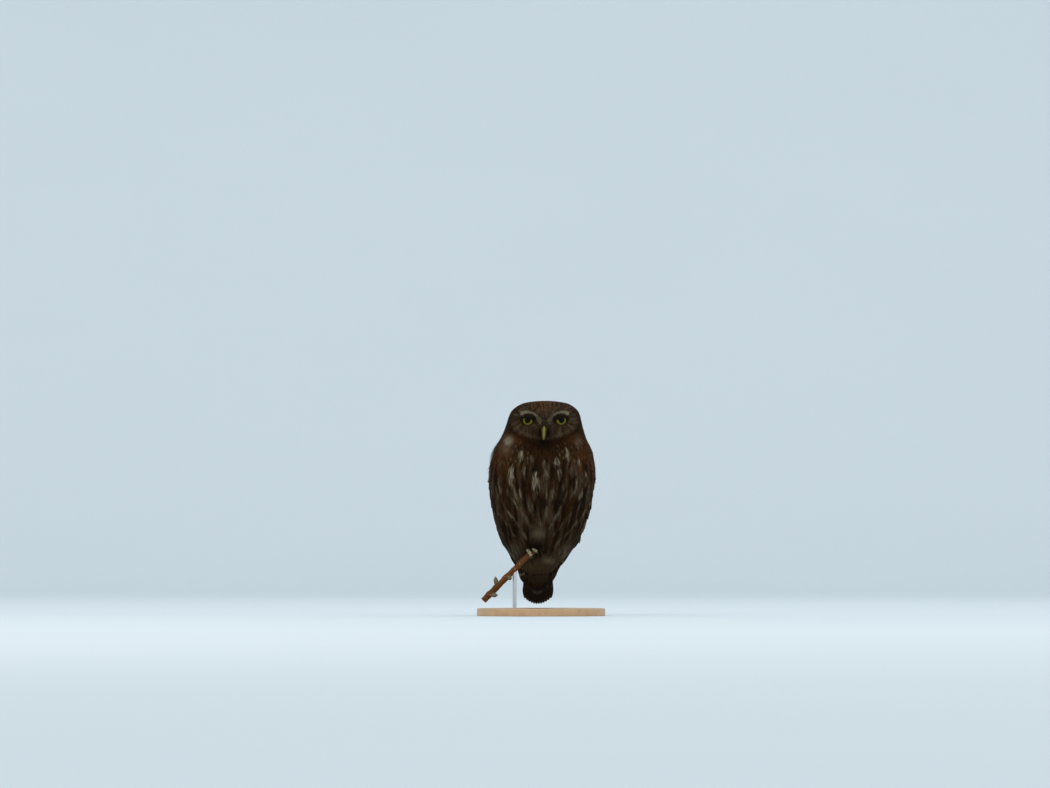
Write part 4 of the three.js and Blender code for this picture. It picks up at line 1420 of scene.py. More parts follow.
def wing_spines(side, roots, tips, bow, steps):
    """Spines between roots and tips, each an angle in degrees and a height."""
    t = np.linspace(0, 1, steps + 1)
    line = roots[:, None] + (tips - roots)[:, None] * t[:, None]
    angle = np.radians(line[..., 0] + bow * 4 * t * (1 - t))
    h = line[..., 1]
    at = wing_surface(side * angle, h)
    out = wing_out(side, angle, h)
    ahead = np.gradient(at, axis=1)
    ahead = unit(ahead - out * dot(ahead, out))
    across = np.cross(ahead, out)
    backward = wing_surface(side * (angle + 0.02), h) - at
    return (at, across, out), np.sign(dot(across, backward))[..., 0].mean()


def tier_row(ends, count, sag=0.0):
    share = np.linspace(0, 1, count)
    row = np.array(ends[0]) + (np.array(ends[1]) - np.array(ends[0])) * share[:, None]
    row[:, 1] -= sag * 4 * share * (1 - share)
    return row


def vane_notes(count, tone_rng, flat, web_length):
    """Notes of a big vane: its tone and length in millimetres, and the tint of its place."""
    rust = tints(flat)[1]
    return {
        "tone": np.clip(1 + 0.06 * tone_rng.standard_normal(count), 0.8, 1.2),
        "length": web_length,
        "rust": rust * 0.3,
    }


WING_TIERS = {
    "primaries": dict(
        count=8, half=3.7, roots=((88, 76), (132, 62)), tips=((105, 48), (160, 25)), sag=15,
        bow=-3, lift=4.0, tip=3.6, tilt=0.8, template=FLIGHT_VANE, finish="flight",
    ),
    "secondaries": dict(
        count=9, half=4.5, roots=((84, 96), (160, 98)), tips=((100, 63), (166, 46)), sag=1,
        bow=-2, lift=2.9, tip=1.5, tilt=0.7, template=FLIGHT_VANE, finish="flight",
    ),
    "greater_coverts": dict(
        count=11, half=4.9, roots=((75, 110), (160, 115)), tips=((83, 78), (163, 84)), sag=2,
        bow=0, lift=2.8, tip=1.1, tilt=0.6, template=COVERT_VANE, finish="covert",
    ),
    "upper_greater_coverts": dict(
        count=13, half=3.9, roots=((74, 121), (159, 126)), tips=((80, 90), (162, 97)), sag=2,
        bow=0, lift=2.7, tip=0.95, tilt=0.6, template=COVERT_VANE, finish="covert",
    ),
    "median_coverts": dict(
        count=12, half=4.5, roots=((73, 128), (158, 133)), tips=((76, 101), (160, 108)), sag=2,
        bow=0, lift=2.6, tip=0.8, tilt=0.6, template=COVERT_VANE, finish="covert",
    ),
    "upper_median_coverts": dict(
        count=14, half=3.6, roots=((73, 138), (157, 142)), tips=((76, 112), (159, 118)), sag=1,
        bow=0, lift=2.5, tip=0.65, tilt=0.5, template=COVERT_VANE, finish="covert",
    ),
    "lesser_coverts": dict(
        count=12, half=4.2, roots=((73, 144), (156, 148)), tips=((75, 121), (158, 127)), sag=1,
        bow=0, lift=2.4, tip=0.5, tilt=0.5, template=COVERT_VANE, finish="covert",
    ),
    "scapulars": dict(
        count=6, half=6.2, roots=((146, 153), (166, 112)), tips=((151, 128), (167, 74)), sag=0,
        bow=3, lift=1.6, tip=0.0, tilt=0.3, template=COVERT_VANE, finish="covert",
    ),
}


def wing_finish(name, barred, spots, light):
    """Vane of a flight feather or covert: firmer and smoother than the coat, with pale spots."""
    material, tree, shader = start_material(name, 0.62, Specular_IOR_Level=0.05)
    wave, out = barbs(tree, 2 * math.pi / BARB * 4.2, 2 * math.pi / BARB * 30)
    place = object_place(tree)
    mottle = noise(tree, place, 190.0, 4.0)
    colour = blend(tree, mottle, linear("#1a110a"), linear(light))
    colour = blend(tree, value_of(tree, "rust"), colour, linear(RUST))
    along = value_of(tree, "along")
    from_tip = sums(tree, "MULTIPLY", sums(tree, "SUBTRACT", 1.0, along), value_of(tree, "length"))
    if barred:
        wobble = sums(tree, "MULTIPLY_ADD", mottle, 2.2, from_tip)
        turn = sums(tree, "MULTIPLY", wobble, 2 * math.pi / 10.5)
        bar = spread(tree, sums(tree, "SINE", turn), 0.25, 0.95)
        web = spread(tree, out, 0.1, 0.5)
        spot = sums(tree, "MULTIPLY", bar, web)
    else:
        centre = sums(tree, "MULTIPLY_ADD", value_of(tree, "tone"), 30.0, -25.0)
        run = sums(tree, "MULTIPLY", sums(tree, "SUBTRACT", from_tip, centre), 1 / 2.8)
        wide = sums(tree, "MULTIPLY", sums(tree, "SUBTRACT", out, 0.52), 1 / 0.36)
        inside = sums(
            tree,
            "SQRT",
            sums(tree, "MULTIPLY_ADD", run, run, sums(tree, "MULTIPLY", wide, wide)),
        )
        spot = spread(tree, inside, 1.25, 0.6)
    patchy = noise(tree, place, 120.0, 1.0)
    present = spread(tree, patchy, 0.38, 0.6, 0.15 * spots, spots)
    spot = sums(tree, "MULTIPLY", spot, present)
    colour = blend(tree, spot, colour, linear(BUFF))
    edge = spread(tree, from_tip, 1.6, 0.3, 0.0, 0.12)
    colour = blend(tree, edge, colour, linear(BUFF))
    level = sums(tree, "MULTIPLY_ADD", wave, 0.07, value_of(tree, "tone"))
    colour = dimmed(tree, colour, level)
    quill = spread(tree, out, 0.085, 0.035, 0.0, 0.8)
    colour = blend(tree, quill, colour, linear(SHAFT))
    paint(tree, shader, colour)
    bump(tree, shader, wave, 0.2, 0.06)
    return material


wing_materials = {
    "flight": wing_finish("flight feather keratin", True, 0.6, "#322212"),
    "covert": wing_finish("covert feather keratin", False, 0.6, "#38250f"),
    # Painted shade: the tail's brown is set near black and its pale bars made faint, darker than its
    # own colour, as its underside lies in shade.
    "tail": wing_finish("tail feather keratin in painted shade", True, 0.1, "#19110a"),
}


def wing_on_unwrap(roots):
    """Front edge to back edge of the wing across the map, bottom to top up it."""
    share = (roots[:, 0] - 60) / (180 - 60)
    return np.stack([0.02 + 0.96 * share, 0.02 + 0.96 * roots[:, 1] / WING_TOP], -1)


def wing_tier(side, tier_name, seed):
    tier = WING_TIERS[tier_name]
    rng = np.random.default_rng(seed)
    count = tier["count"]
    roots = tier_row(tier["roots"], count)
    tips = tier_row(tier["tips"], count, tier["sag"]) + rng.uniform(-1.5, 1.5, (count, 2))
    template = tier["template"]
    spines, toward_back = wing_spines(side, roots, tips, tier["bow"], 24)
    length = np.linalg.norm(np.diff(spines[0], axis=1), axis=-1).sum(1)
    tilt = tier["tilt"] * toward_back
    beside = WING_FULLER[side] * (1 - smooth(roots[:, :1], 105, 150))

    def sink(along):
        dive = (ROOT_DEPTH - tier["lift"]) * (1 - smooth(along, 0, 0.12))
        raised = beside * (1 - smooth(mix(roots[:, 1:], tips[:, 1:], along), 98, 122))
        return mix(tier["lift"], tier["tip"], along) + dive + tilt * template[1] - raised

    half = tier["half"] * rng.uniform(0.94, 1.06, count)
    points, flat = bend_vanes(spines, template, half, flight_web, sink, 0.3, 0.009, rng, 0.02)
    notes = vane_notes(count, rng, flat, length)
    name = f"wing_{SIDES[side]}_{tier_name}"
    finish = wing_materials[tier["finish"]]
    slot = "flight_feathers"
    return feather_piece(name, points, template, wing_on_unwrap(roots), finish, slot, notes)


def wing_grid(side):
    """The wing's surface from its front edge to its back, and its heights."""
    h = np.linspace(58, WING_TOP + 2, 60)
    share = np.linspace(-0.04, 1, 50)
    edge = wing_edge(h)[:, None]
    angle = edge + (WING_BACK - edge) * share
    heights = np.broadcast_to(h[:, None], angle.shape)
    points = wing_surface(side * angle, heights).reshape(-1, 3)
    faces = grid_faces(len(h), len(share), closed=False)
    return Form(points, faces if side > 0 else faces[:, ::-1])


def marginal_wanted(places):
    _, h, angle = chart(places)
    from_edge = np.abs(angle) - wing_edge(h)
    shoulder = (h > 138) & (np.abs(angle) < 2.4)
    return (from_edge < 0.18) & (h > 76) | shoulder


def marginal_size(places):
    _, h, _ = chart(places)
    long = mix(13, 10, smooth(h, 120, 150))
    return long, np.full(len(places), 2.6), np.full(len(places), 3.2)


def wing_flow(places):
    _, h, angle = chart(places)
    side = np.sign(angle)
    backward = 0.35 * side * np.cos(angle)
    return np.stack([backward, 0.35 + 0 * h, -1 + 0 * h], -1)


for side, label in SIDES.items():
    made = [wing_tier(side, name, seed) for seed, name in enumerate(WING_TIERS, 40 + 10 * side)]
    wing_form = wing_grid(side)
    marginal = scatter(wing_form, lambda p: np.full(len(p), 3.0), marginal_wanted, 60 + side)
    grow(
        f"wing_{label}_marginal_coverts", wing_form, marginal, wing_flow, marginal_size,
        BODY_VANE, contour, 62 + side, web=body_web,
    )
    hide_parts(f"wing_{label}")

# %% [markdown]
# ## Tail
# Twelve tail feathers fold like a fan, the middle pair on top, seen here from below. Under their
# roots lie the soft undertail coverts, in rows that fill the room up to the vent. The vanes are
# straight, so their spines are plain lines.

# %% Tail
TAIL_ROOT = 64
TAIL_PAIRS = 6
TAIL_SPREAD = 14.0
TAIL_SWING = 1.2
TAIL_STEP = 0.8
TAIL_ROUND = 7.5


def straight_spines(start, end, out, steps=24):
    t = np.linspace(0, 1, steps + 1)[:, None]
    at = start[:, None] + (end - start)[:, None] * t
    ahead = np.broadcast_to(unit(end - start)[:, None], at.shape)
    normal = np.broadcast_to(np.array(out, float), at.shape)
    normal = unit(normal - ahead * dot(ahead, normal))
    return at, np.cross(ahead, normal), normal


def tail_places(x, y, h):
    return np.stack([lean(h) + x, y + 0 * h, TAIL_TIP_Z + h], -1)


def tail():
    rng = np.random.default_rng(80)
    side = np.repeat([1, -1], TAIL_PAIRS)
    order = np.tile(np.arange(TAIL_PAIRS), 2)
    spread_x = side * (order + 0.5) / (TAIL_PAIRS - 0.5) * TAIL_SPREAD
    tip_h = TAIL_ROUND * ((order + 0.5) / TAIL_PAIRS) ** 2
    layer = TAIL_STEP * (order + np.where(side > 0, 0, 0.5))
    start = tail_places(0.5 * spread_x, 36 - layer, np.full(len(order), TAIL_ROOT - 4.0))
    end = tail_places(spread_x + TAIL_SWING, 37.4 - layer, tip_h)
    spines = straight_spines(start, end, (0, 1, 0))

    def sink(along):
        return -0.3 * side[:, None] * FLIGHT_VANE[1][None] + 0 * along

    points, flat = bend_vanes(
        spines, FLIGHT_VANE, np.full(len(order), 3.9), flight_web, sink, 0.3, 0.012, rng, 0.02
    )
    length = np.linalg.norm(end - start, axis=-1)
    notes = vane_notes(len(order), rng, flat, length)
    roots = np.stack([0.5 + spread_x / 40, np.full(len(order), 0.9)], -1)
    made = feather_piece(
        "tail_feathers", points, FLIGHT_VANE, roots, wing_materials["tail"], "flight_feathers",
        notes,
    )
    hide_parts("tail")


# Number, spread, then the root's and the tip's place behind the twig and height, for each row
UNDERTAIL_ROWS = [
    (9, 9.5, 32.6, 58, 31.0, 17),
    (9, 9.5, 30.6, 58, 30.4, 20),
    (9, 9.5, 28.4, 56, 29.6, 22),
    (9, 9.0, 26.2, 52, 28.4, 24),
    (8, 8.5, 24.0, 48, 26.8, 26),
]


def undertail_coverts():
    rng = np.random.default_rng(81)
    rows = []
    for count, spread_x, root_y, root_h, tip_y, tip_h in UNDERTAIL_ROWS:
        share = np.linspace(-1, 1, count)
        root = tail_places(0.75 * share * spread_x, root_y, np.full(count, float(root_h)))
        side_step = rng.uniform(-0.6, 0.6, count)
        low = tip_h + 7 * share**2 + rng.uniform(-1.5, 1.5, count)
        tip = tail_places(share * spread_x + side_step + 0.5 * TAIL_SWING, tip_y + 0 * share, low)
        rows.append((root, tip))
    start, end = (np.vstack(part) for part in zip(*rows))
    spines = straight_spines(start, end, (0, -1, 0))
    sink_at = rng.uniform(-0.3, 0.4, (len(start), 1))
    points, flat = bend_vanes(
        spines,
        COVERT_VANE,
        rng.uniform(2.6, 3.4, len(start)),
        body_web,
        lambda along: sink_at + 0 * along[None],
        0.2,
        0.03,
        rng,
    )
    x, h, _ = chart(start)
    pale = 0.15 * smooth(flat[..., 2] - TAIL_TIP_Z, 16, 34)
    tone = np.clip(1 + 0.1 * rng.standard_normal(len(start)), 0.8, 1.2)
    # Painted shade: the coverts are blended toward dark brown at 0.4 and kept nearly unmarked, as they
    # lie in shade under the body; their own colour is buff.
    notes = even_notes(flat.shape[:2], pale, 0.4, tone)
    roots = np.stack([0.5 + x / 40, 0.2 + h / 200], -1)
    feather_piece("undertail_coverts", points, COVERT_VANE, roots, contour, "plumage", notes)


tail()
undertail_coverts()

# %% [markdown]
# ## Eyes
# An owl's eye is a tube with a bulging clear cornea, a yellow iris with fine spokes, a dark rim and a
# wide black pupil. A glass eye can be built of a lens over a painted iris. The export keeps plain
# surfaces best, so the ball here is one mesh with the iris and pupil in its colour, and the wet
# cornea is a clear coat over it, which gives the same sharp highlight. The iris is painted darker
# upward, a painted shade where the upper lid shades it.

# %% Eyes
PUPIL = 3.0
IRIS = 5.8
CORNEA_RISE = 0.35


def eye_material():
    """Glass-smooth and wet: a clear coat at the index of a cornea."""
    material, tree, shader = start_material(
        "wet cornea over iris", 0.4, Coat_Weight=0.16, Coat_Roughness=0.02, Coat_IOR=1.376
    )
    shader.inputs["Specular IOR Level"].default_value = 0.0
    ring = value_of(tree, "ring")
    spoke = value_of(tree, "spoke")
    spokes = add(
        tree,
        "TexNoise",
        {"W": sums(tree, "MULTIPLY", spoke, 26.0), "Scale": 1.0, "Detail": 3.0},
        noise_dimensions="1D",
    )
    fibre = spread(tree, spokes.outputs["Fac"], 0.3, 0.7)
    colour = blend(tree, fibre, linear("#4d480c"), linear("#7b7219"))
    inner = spread(tree, ring, PUPIL, PUPIL + 1.1, 0.55, 0.0)
    colour = blend(tree, inner, colour, linear("#4c4710"))
    rim = spread(tree, ring, IRIS - 1.2, IRIS - 0.1)
    colour = blend(tree, rim, colour, linear("#14100a"))
    # Painted shade: the iris is blended toward near black above its middle, where the upper lid shades
    # it.
    upper = spread(tree, value_of(tree, "upward"), -1.0, 2.5, 0.0, 0.6)
    colour = blend(tree, upper, colour, linear("#1f1c08"))
    pupil = spread(tree, ring, PUPIL + 0.18, PUPIL - 0.05)
    colour = blend(tree, pupil, colour, linear("#050505"))
    paint(tree, shader, colour)
    return material


def eyeball(side, material):
    look, right, top = gaze_frame(side)
    away = np.linspace(0.001, math.pi - 0.001, 72)
    turn = np.linspace(0, 2 * math.pi, 96, endpoint=False)
    a, k = np.meshgrid(away, turn, indexing="ij")
    across = EYE_RADIUS * np.sin(a)
    rise = EYE_RADIUS * np.cos(a) + CORNEA_RISE * np.where(a < 1.2, bell(across, 4.4), 0) - 0.25
    rings = (
        rise[..., None] * look
        + (across * np.cos(k))[..., None] * right
        + (across * np.sin(k))[..., None] * top
        + eye_centre(side)
    )
    points, faces = rings_to_body(rings)
    label = SIDES[side]
    made = piece(f"eyeball_{label}", points, faces, material, "eye")
    from_axis = np.where(a < math.pi / 2, across, 2 * EYE_RADIUS - across)
    note(made, "ring", np.concatenate([from_axis.ravel(), [0, 2 * EYE_RADIUS]]))
    note(made, "spoke", np.concatenate([np.abs(k - math.pi).ravel(), [0, 0]]))
    note(made, "upward", np.concatenate([(across * np.sin(k)).ravel(), [0, 0]]))
    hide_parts(f"eye_{label}")


eye_finish = eye_material()
for side in SIDES:
    eyeball(side, eye_finish)
print("iris", 2 * IRIS, "mm, pupil", 2 * PUPIL, "mm")

# %% [markdown]
# ## Bill
# The bill is bone under a sheath of keratin, hooked over a shorter lower half. A soft cere at its
# root carries the nostrils. Both halves are lofted through ovals along a bent line, with a ridge
# along the top. Bristle feathers cover its root.

# %% Bill
UPPER_BILL = [
    (-33, 186.2, 3.4, 3.6),
    (-40, 185.2, 3.2, 3.6),
    (-44.6, 181.9, 2.6, 3.0),
    (-46.3, 177.6, 2.0, 2),
    (-45.6, 174.2, 1.2, 0.9),
    (-45.0, 173.1, 0.25, 0.25),
]
LOWER_BILL = [(-33, 181.6, 3, 2), (-39, 180.5, 2.6, 2), (-43, 177.6, 1.5, 1.2)]
NOSTRIL = (2.5, -43.2, 184.7)


def horn(line, steps, sides, ridge):
    """A bill half along its bent line: place, and half sizes of its ovals."""
    line = np.array(line, float)
    count = len(line) - 1
    t = np.linspace(0, 1, steps)
    posts = np.stack([lean(line[:, 1]), line[:, 0], TAIL_TIP_Z + line[:, 1]], -1)
    at = spline(posts, t)
    ahead = unit(np.gradient(at, axis=0))
    up = unit(np.cross(np.array([1.0, 0, 0]), ahead))
    wide = curve_through(list(enumerate(line[:, 2])))(t * count)[:, None]
    tall = curve_through(list(enumerate(line[:, 3])))(t * count)[:, None]
    turn = np.linspace(0, 2 * math.pi, sides, endpoint=False)
    sharper = 1 + ridge * bell(np.abs(turn - math.pi * 1.5), 0.5)
    out = (wide * np.cos(turn))[..., None] * np.array([1.0, 0, 0])
    rise = (tall * sharper * np.sin(turn))[..., None] * up[:, None]
    return at[:, None] + out + rise


def horn_material(name, light, dark, tip):
    """Keratin sheath: smooth, a little clear, a painted highlight on the ridge, stained at the root.
    """
    material, tree, shader = start_material(name, 0.42, Coat_Weight=0.05, Coat_Roughness=0.2)
    shader.inputs["IOR"].default_value = 1.55
    shader.inputs["Specular IOR Level"].default_value = 0.12
    growth = noise(tree, object_place(tree), 700.0, 4.0)
    streak = spread(tree, growth, 0.35, 0.7)
    colour = blend(tree, streak, linear(dark), linear(light))
    # Painted highlight: the ridge toward the tip takes the last, pale colour.
    colour = blend(tree, value_of(tree, "ridge"), colour, linear(tip))
    colour = blend(tree, value_of(tree, "stain_and_dark_tip"), colour, linear("#3a3322"))
    paint(tree, shader, colour)
    bump(tree, shader, growth, 0.2, 0.05)
    return material


# The last colour is the painted highlight on the ridge.
bill_finish = horn_material("bill keratin", "#433b05", "#2e2806", "#92873a")


def with_nostrils(points):
    """The upper half with a nostril sunk into each side of its cere, in a low rim."""
    middle = lean(188.0)
    inside = np.array([middle, -38.0, TAIL_TIP_Z + 184.1])
    for side in (-1, 1):
        centre = np.array([middle + side * NOSTRIL[0], NOSTRIL[1], TAIL_TIP_Z + NOSTRIL[2]])
        distance = np.linalg.norm((points - centre) * [1, 1, 1.3], axis=-1)
        depth = 1.1 * bell(distance, 0.75) - 0.3 * bell(distance - 1.3, 0.6)
        points = points + unit(inside - centre) * depth[:, None]
    return points


def bill_half(name, line, node, steps, ridge):
    points, faces = rings_to_body(horn(line, steps, 40, ridge))
    if node == "bill_upper":
        points = with_nostrils(points)
    made = piece(name, points, faces, bill_finish, "bill_horn")
    x = points[:, 0] - lean(points[:, 2] - TAIL_TIP_Z)
    h = points[:, 2] - TAIL_TIP_Z
    front = smooth(-points[:, 1], 42.5, 46.5)
    # Painted highlight down the ridge, strongest toward the tip; the tip is also darker.
    note(made, "ridge", 0.7 * bell(x, 0.9) * front)
    root_stain = 0.8 * smooth(-points[:, 1], 42, 38)
    darker_tip = 0.5 * (1 - smooth(h, 174.5, 178))
    note(made, "stain_and_dark_tip", np.clip(root_stain + darker_tip, 0, 1))
    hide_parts(node)


bill_half("bill_upper_sheath", UPPER_BILL, "bill_upper", 46, 0.12)
bill_half("bill_lower_sheath", LOWER_BILL, "bill_lower", 24, 0.0)


def bill_bristles():
    """Bristle feathers that rise from the lores and lie along the sides of the bill."""
    rng = np.random.default_rng(91)
    count = 150
    side = np.where(np.arange(count) % 2 > 0, 1.0, -1.0)
    h = rng.uniform(182, 194, count)
    beside = side * (rng.uniform(2.2, 5.4, count) - 1.4 * smooth(h, 188, 193))
    start = front_place(beside, h) + np.array([0, 1.0, 0])
    length = rng.uniform(5.5, 9, count)
    way = unit(
        np.stack([side * rng.uniform(-0.22, 0.2, count), np.full(count, -0.62), 0 * h - 0.8], -1)
    )
    end = start + way * length[:, None]
    spines = straight_spines(start, end, (0, -1, 0.4), 8)
    droop = rng.uniform(0.6, 1.6, count)[:, None]

    def sink(along):
        return droop * np.maximum(0, along) ** 2

    points, flat = bend_vanes(
        spines, BODY_VANE, rng.uniform(0.22, 0.34, count), soft_web, sink, 0.16, 0, rng
    )
    pale = 0.18 * smooth(h, 186, 192)[:, None]
    notes = even_notes(flat.shape[:2], pale, 0.55, rng.uniform(0.8, 1.2, count))
    feather_piece(
        "bill_bristles", points, BODY_VANE, on_unwrap(start), contour, "plumage", notes
    )


bill_bristles()


def lid_feathers(side):
    """Tiny feathers over the lids, laid outward from the edge."""
    rng = np.random.default_rng(95 + side)
    count = 420
    turn = rng.uniform(0, 2 * math.pi, count)
    share = 0.05 + 0.8 * np.sqrt(rng.uniform(0, 1, count))
    onward = share + rng.uniform(0.3, 0.42, count)
    lid_radius = np.transpose(LID_SECTION)
    start = lid_place(side, turn, share, np.interp(share, *lid_radius))
    end = lid_place(side, turn, onward, np.interp(onward, *lid_radius) + 0.3)
    out = unit(0.5 * (start + end) - eye_centre(side))[:, None]
    spines = straight_spines(start, end, out, 6)
    rise = rng.uniform(-0.3, -0.12, (count, 1))

    def sink(along):
        return rise + 0 * along[None]

    half = rng.uniform(0.3, 0.42, count)
    points, flat = bend_vanes(spines, SMALL_VANE, half, soft_web, sink, 0.08, 0, rng)
    notes = even_notes(flat.shape[:2], 0.1, 0.62, rng.uniform(0.75, 1.3, count))
    label = SIDES[side]
    feather_piece(
        f"lid_feathers_{label}", points, SMALL_VANE, on_unwrap(start), contour, "plumage", notes
    )


for side in SIDES:
    lid_feathers(side)

# %% [markdown]
# ## Feet and claws
# The toes grip the twig, two in front and two behind. A little owl's toes are clad in short pale
# bristly feathers, and bare pads show only below. The claws are black, curved and sharp.

# %% Feet and claws
TOE_RADIUS = 2
TOE_REACH = math.radians(112)
TOE_SPREAD = 3.1
TOE_RING = TWIG_RADIUS + 0.35 + TOE_RADIUS
CLAW_REACH = math.radians(52)
CLAW_RADIUS = 1.15
TOES = [(1, -TOE_SPREAD), (1, TOE_SPREAD), (-1, -TOE_SPREAD), (-1, TOE_SPREAD)]


def curl(side, direction, offset, start, end, radius_at, steps):
    """A line that curls round the twig from its top. Direction 1 is forwards and -1 is back."""
    at, along, forward, up = foot_frame(side)
    share = np.linspace(0, 1, steps)
    turn = (start + (end - start) * share)[:, None]
    radius = radius_at(share)[:, None]
    line = at + along * offset * mix(0.55, 1.15, turn / TOE_REACH)
    return line + up * radius * np.cos(turn) + forward * direction * radius * np.sin(turn), along


def sweep(line, across, radius, sides):
    ahead = unit(np.gradient(line, axis=0))
    side = unit(across - ahead * dot(across, ahead))
    return tube(line, side, np.cross(ahead, side), radius, sides)


def toe_skin_material():
    """Scaly toe skin: small raised scutes, dry and matt."""
    material, tree, shader = start_material("scaled toe skin", 0.7)
    scutes = add(tree, "TexVoronoi", {"Vector": object_place(tree), "Scale": 1100.0})
    colour = blend(tree, scutes.outputs["Distance"], linear("#9a9178"), linear("#5f573f"))
    paint(tree, shader, colour)
    bump(tree, shader, scutes.outputs["Distance"], -0.6, 0.25)
    return material


def claw_material():
    """Claw keratin, nearly black and polished by use, paler at its root."""
    material, tree, shader = start_material("black claw keratin", 0.28)
    worn = noise(tree, object_place(tree), 900.0)
    colour = blend(tree, worn, linear("#0c0a09"), linear("#3b332b"))
    paint(tree, shader, colour)
    bump(tree, shader, worn, 0.15, 0.05)
    return material


toe_finish = toe_skin_material()
claw_finish = claw_material()


def toe_body(side, direction, offset):
    steps = 22
    share = np.linspace(0, 1, steps)
    line, along = curl(side, direction, offset, 0, TOE_REACH, lambda s: TOE_RING + 0 * s, steps)
    joints = 1 + 0.1 * np.cos(share * 3 * 2 * math.pi) - 0.2 * share
    return sweep(line, along, TOE_RADIUS * joints, 18)


def foot_pad(side):
    at, along, _, up = foot_frame(side)
    t = np.linspace(-1, 1, 15)
    round_off = np.sqrt(np.maximum(0.002, 1 - t**2))
    turn = np.linspace(0, 2 * math.pi, 20, endpoint=False)
    centre = at + up * (TOE_RING + 0.4)
    wide, tall = 3.4 * np.array([0, 1.0, 0]), 2.2 * up
    ring = np.cos(turn)[None, :, None] * wide + np.sin(turn)[None, :, None] * tall
    return rings_to_body(centre + (4.2 * t)[:, None, None] * along + round_off[:, None, None] * ring)


def shank(side):
    at, _, _, up = foot_frame(side)
    low = at + up * (TOE_RING + 0.4)
    high = leg_line(side, 0.12)
    t = np.linspace(0, 1, 8)[:, None]
    line = mix(low, high, t)
    return sweep(line, np.array([1.0, 0, 0]), np.linspace(2.6, 2.9, 8), 18)


def tube_form(bodies):
    return Form(*joined(bodies))


def toe_flow(side):
    at, along, forward, up = foot_frame(side)

    def flow(places):
        away = places - at
        away = away - along * (away @ along)[:, None]
        front = np.sign(away @ forward)[:, None]
        high = (away @ up > TOE_RING + 2.5)[:, None]
        around = np.cross(along, away) * front
        around = around * np.sign(dot(around, -up) + 1e-6)
        return np.where(high, -up, unit(around))

    return flow


def plain_on_unwrap(places):
    centre = places.mean(0)
    away = places - centre
    turn = np.arctan2(away[:, 0], -away[:, 1])
    return np.stack([turn / (2 * math.pi) + 0.5, np.interp(away[:, 2], [-12, 22], [0.03, 0.97])], -1)


bristle_coat = feather_material(
    "toe bristle keratin", "#8d8264", "#6f654c", "#b5ab8c", length=3.4, half=0.6
)
leg_coat = feather_material("leg feather keratin", "#8b8464", "#6b6348", "#aaa283", 6, 1.0)
for side, label in SIDES.items():
    bodies = [toe_body(side, *toe) for toe in TOES]
    bodies += [foot_pad(side), shank(side)]
    made = piece(f"toes_{label}", *joined(bodies), toe_finish, "toe_skin")
    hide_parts(f"foot_{label}")
    form = tube_form(bodies)
    at, _, _, up = foot_frame(side)
    bristles = scatter(
        form,
        lambda p: np.full(len(p), 0.85),
        lambda p, at=at, up=up: (p - at) @ up > 1.0,
        90 + side,
    )
    grow(
        f"toe_bristles_{label}", form, bristles, toe_flow(side),
        lambda p: (np.full(len(p), 2.6), np.full(len(p), 0.42), np.full(len(p), 0.25)),
        SMALL_VANE, bristle_coat, 92 + side, "leg_plumage", plain_on_unwrap,
    )
    leg_form = tube_form([leg_tube(side, 0)])
    leg_roots = scatter(
        leg_form, lambda p: np.full(len(p), 1.6), lambda p: p[:, 2] < 100, 95 + side
    )
    grow(
        f"leg_feathers_{label}", leg_form, leg_roots,
        lambda p: np.broadcast_to([0.0, 0, -1], p.shape),
        lambda p: (np.full(len(p), 6.5), np.full(len(p), 1.1), np.full(len(p), 0.8)),
        BODY_VANE, leg_coat, 97 + side, "leg_plumage", plain_on_unwrap,
    )
    for number, (direction, offset) in enumerate(TOES, 1):
        start = TOE_REACH + 0.4 / TOE_RING
        line, along = curl(
            side, direction, offset, start - 0.1, start + CLAW_REACH,
            lambda s: mix(TOE_RING + 0.2, TWIG_RADIUS + 1.1, s**1.5), 20,
        )
        taper = CLAW_RADIUS * (1 - 0.92 * np.linspace(0, 1, 20) ** 1.3)
        made = piece(
            f"talon_{label}_{number}", *sweep(line, along, taper, 16), claw_finish, "claw_horn"
        )
        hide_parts(f"claw_{label}_{number}")

# %% [markdown]
# ## Twig
# A fruit tree's young wood: smooth orange-brown bark with small pale lenticels, plump scaled buds
# on short bases, and a pale ring of wood where the knife cut it. The tube is displaced by sums of
# waves for its knots and wrinkles, and the finer grain is left to the bump.

# %% Twig
BUDS = [(-47, 1, 20, 9.5), (-55, -1, 35, 8.5), (-37, -1, -40, 5)]


def twig_radius(t):
    return TWIG_RADIUS * (1.05 - 0.16 * t)


def bark_material():
    """Young bark: a thin waxy skin with cork spots, satin rather than matt."""
    material, tree, shader = start_material(
        "young bark", 0.62, Coat_Weight=0.03, Coat_Roughness=0.4, Specular_IOR_Level=0.15
    )
    place = object_place(tree)
    patches = noise(tree, place, 120.0, 6.0)
    colour = blend(tree, patches, linear("#3c2009"), linear("#6c3f14"))
    round_twig = stretched(tree, place, (3, 3, 1), (0, -0.8, 0))
    spots = add(tree, "TexVoronoi", {"Vector": round_twig, "Scale": 130.0, "Randomness": 1.0})
    lenticel = spread(tree, spots.outputs["Distance"], 0.2, 0.12)
    colour = blend(tree, lenticel, colour, linear("#94744f"))
    colour = blend(tree, value_of(tree, "bud"), colour, linear("#69654c"))
    colour = blend(tree, value_of(tree, "cut"), colour, linear("#cdb58c"))
    paint(tree, shader, colour)
    height = sums(tree, "MULTIPLY_ADD", lenticel, 1.5, noise(tree, place, 700.0, 6.0))
    bump(tree, shader, height, 0.5, 0.25)
    return material


